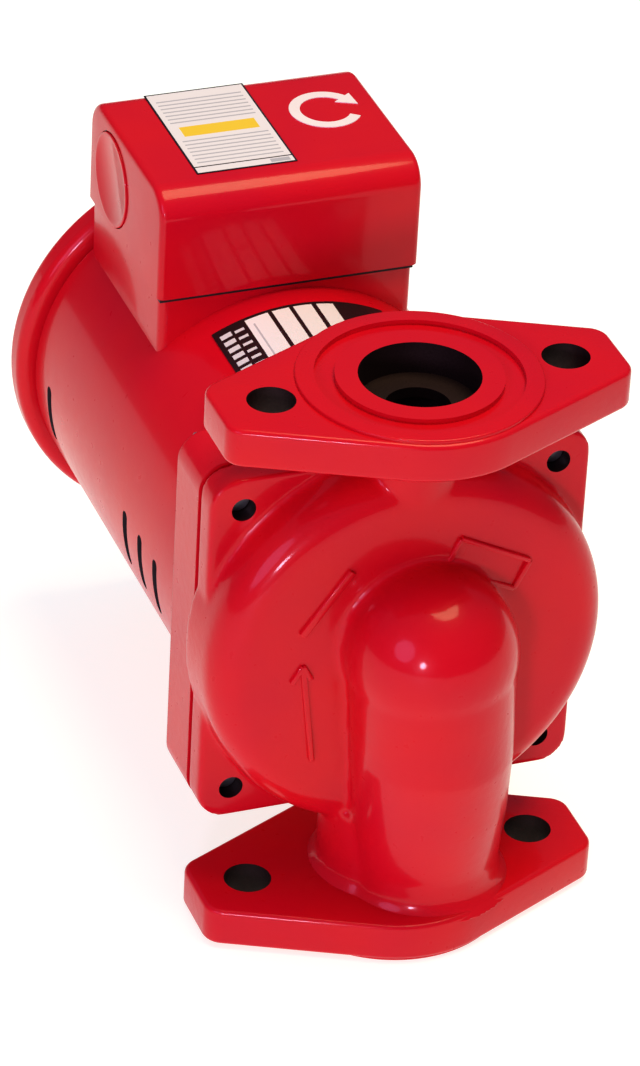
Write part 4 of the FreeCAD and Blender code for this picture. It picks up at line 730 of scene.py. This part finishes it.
# --- Floor, light and camera ------------------------------------------------------------
# A plain white table under a wide warm lamp overhead, with a soft violet lamp at the left and
# one small lamp low in front. The room is darker and cooler below than above.
TABLE_Z = -0.0002
ALWAYS_WHITE = 1.0
drop_selection()
bpy.ops.mesh.primitive_plane_add(size=6.0, location=(0, 0, TABLE_Z))
floor = bpy.context.object
floor.name = "floor"
white = blank_material("white table")
table_top = node(white, "BsdfPrincipled", Roughness=0.7, Base_Color=srgb("C8C8C8"),
                 Emission_Color=srgb("F2FFF4"), Emission_Strength=0.62)
node(white, "OutputMaterial", {"Surface": table_top.outputs["BSDF"]})
floor.data.materials.append(white)

world = bpy.data.worlds.new("studio")
world.use_nodes = True
bpy.context.scene.world = world
bpy.context.scene.view_settings.view_transform = "Standard"
bpy.context.scene.view_settings.look = "Medium High Contrast"
seen = node(world, "LightPath").outputs["Is Camera Ray"]
aim = node(world, "TexCoord").outputs["Generated"]
rise = node(world, "SeparateXYZ", {"Vector": aim}).outputs["Z"]
ramp = node(world, "MapRange", {"Value": rise}, From_Min=-0.1, To_Min=0.05, To_Max=0.45)
strength = node(world, "Mix", {"Factor": seen, "A": ramp.outputs["Result"]}, B=ALWAYS_WHITE)
tint = node(world, "Mix", {"Factor": seen}, data_type="RGBA",
            A=(0.80, 0.68, 1.0, 1.0), B=(1.0, 1.0, 1.0, 1.0))
backdrop = world.node_tree.nodes["Background"]
world.node_tree.links.new(tint.outputs["Result"], backdrop.inputs["Color"])
world.node_tree.links.new(strength.outputs["Result"], backdrop.inputs["Strength"])


def lamp(name, place, aim, size, watts, colour):
    light = bpy.data.lights.new(name, "AREA")
    light.shape = "DISK"
    light.size = size
    light.energy = watts
    light.color = colour
    holder = bpy.data.objects.new(name, light)
    bpy.context.collection.objects.link(holder)
    holder.location = place
    holder.rotation_euler = (Vector(aim) - Vector(place)).to_track_quat("-Z", "Y").to_euler()


lamp("overhead", (0.25, -0.05, 1.5), (0, 0.05, 0.08), 0.9, 13.0, (1.0, 0.86, 0.50))
lamp("left_front", (-1.3, -0.7, 0.75), (0, 0.05, 0.08), 0.8, 5.0, (0.78, 0.52, 1.0))
lamp("low_front", (-0.85, -1.33, 0.45), (0, 0, 0.08), 0.22, 6.5, (0.86, 0.72, 1.0))

# The camera looks down on the pump from the front left, a little rolled. Its lens is given in
# picture points, for a frame 1066 high, and its aim is set off from the middle of the pump.
AZIMUTH, ELEVATION, ROLL = (math.radians(v) for v in (-21.73, 32.72, 3.22))
DISTANCE = 1500.0
FOCAL, FRAME_HEIGHT, SENSOR = 5775.0, 1066.0, 36.0
MIDDLE = Vector((0, 0, 100.0))
AIM_RIGHT, AIM_UP = -22.5, 11.8
back = Vector((math.sin(AZIMUTH) * math.cos(ELEVATION),
               -math.cos(AZIMUTH) * math.cos(ELEVATION), math.sin(ELEVATION)))
level = Vector((0, 0, 1)).cross(back).normalized()
upright = back.cross(level)
right = math.cos(ROLL) * level + math.sin(ROLL) * upright
up = -math.sin(ROLL) * level + math.cos(ROLL) * upright
target = MIDDLE + right * AIM_RIGHT + up * AIM_UP
camera = bpy.data.objects.new("camera", bpy.data.cameras.new("camera"))
bpy.context.collection.objects.link(camera)
camera.data.lens = FOCAL * SENSOR / FRAME_HEIGHT
camera.data.sensor_width = SENSOR
place = (target + back * DISTANCE) / 1000.0
camera.matrix_world = Matrix.Translation(place) @ Matrix((right, up, back)).transposed().to_4x4()
bpy.context.scene.camera = camera
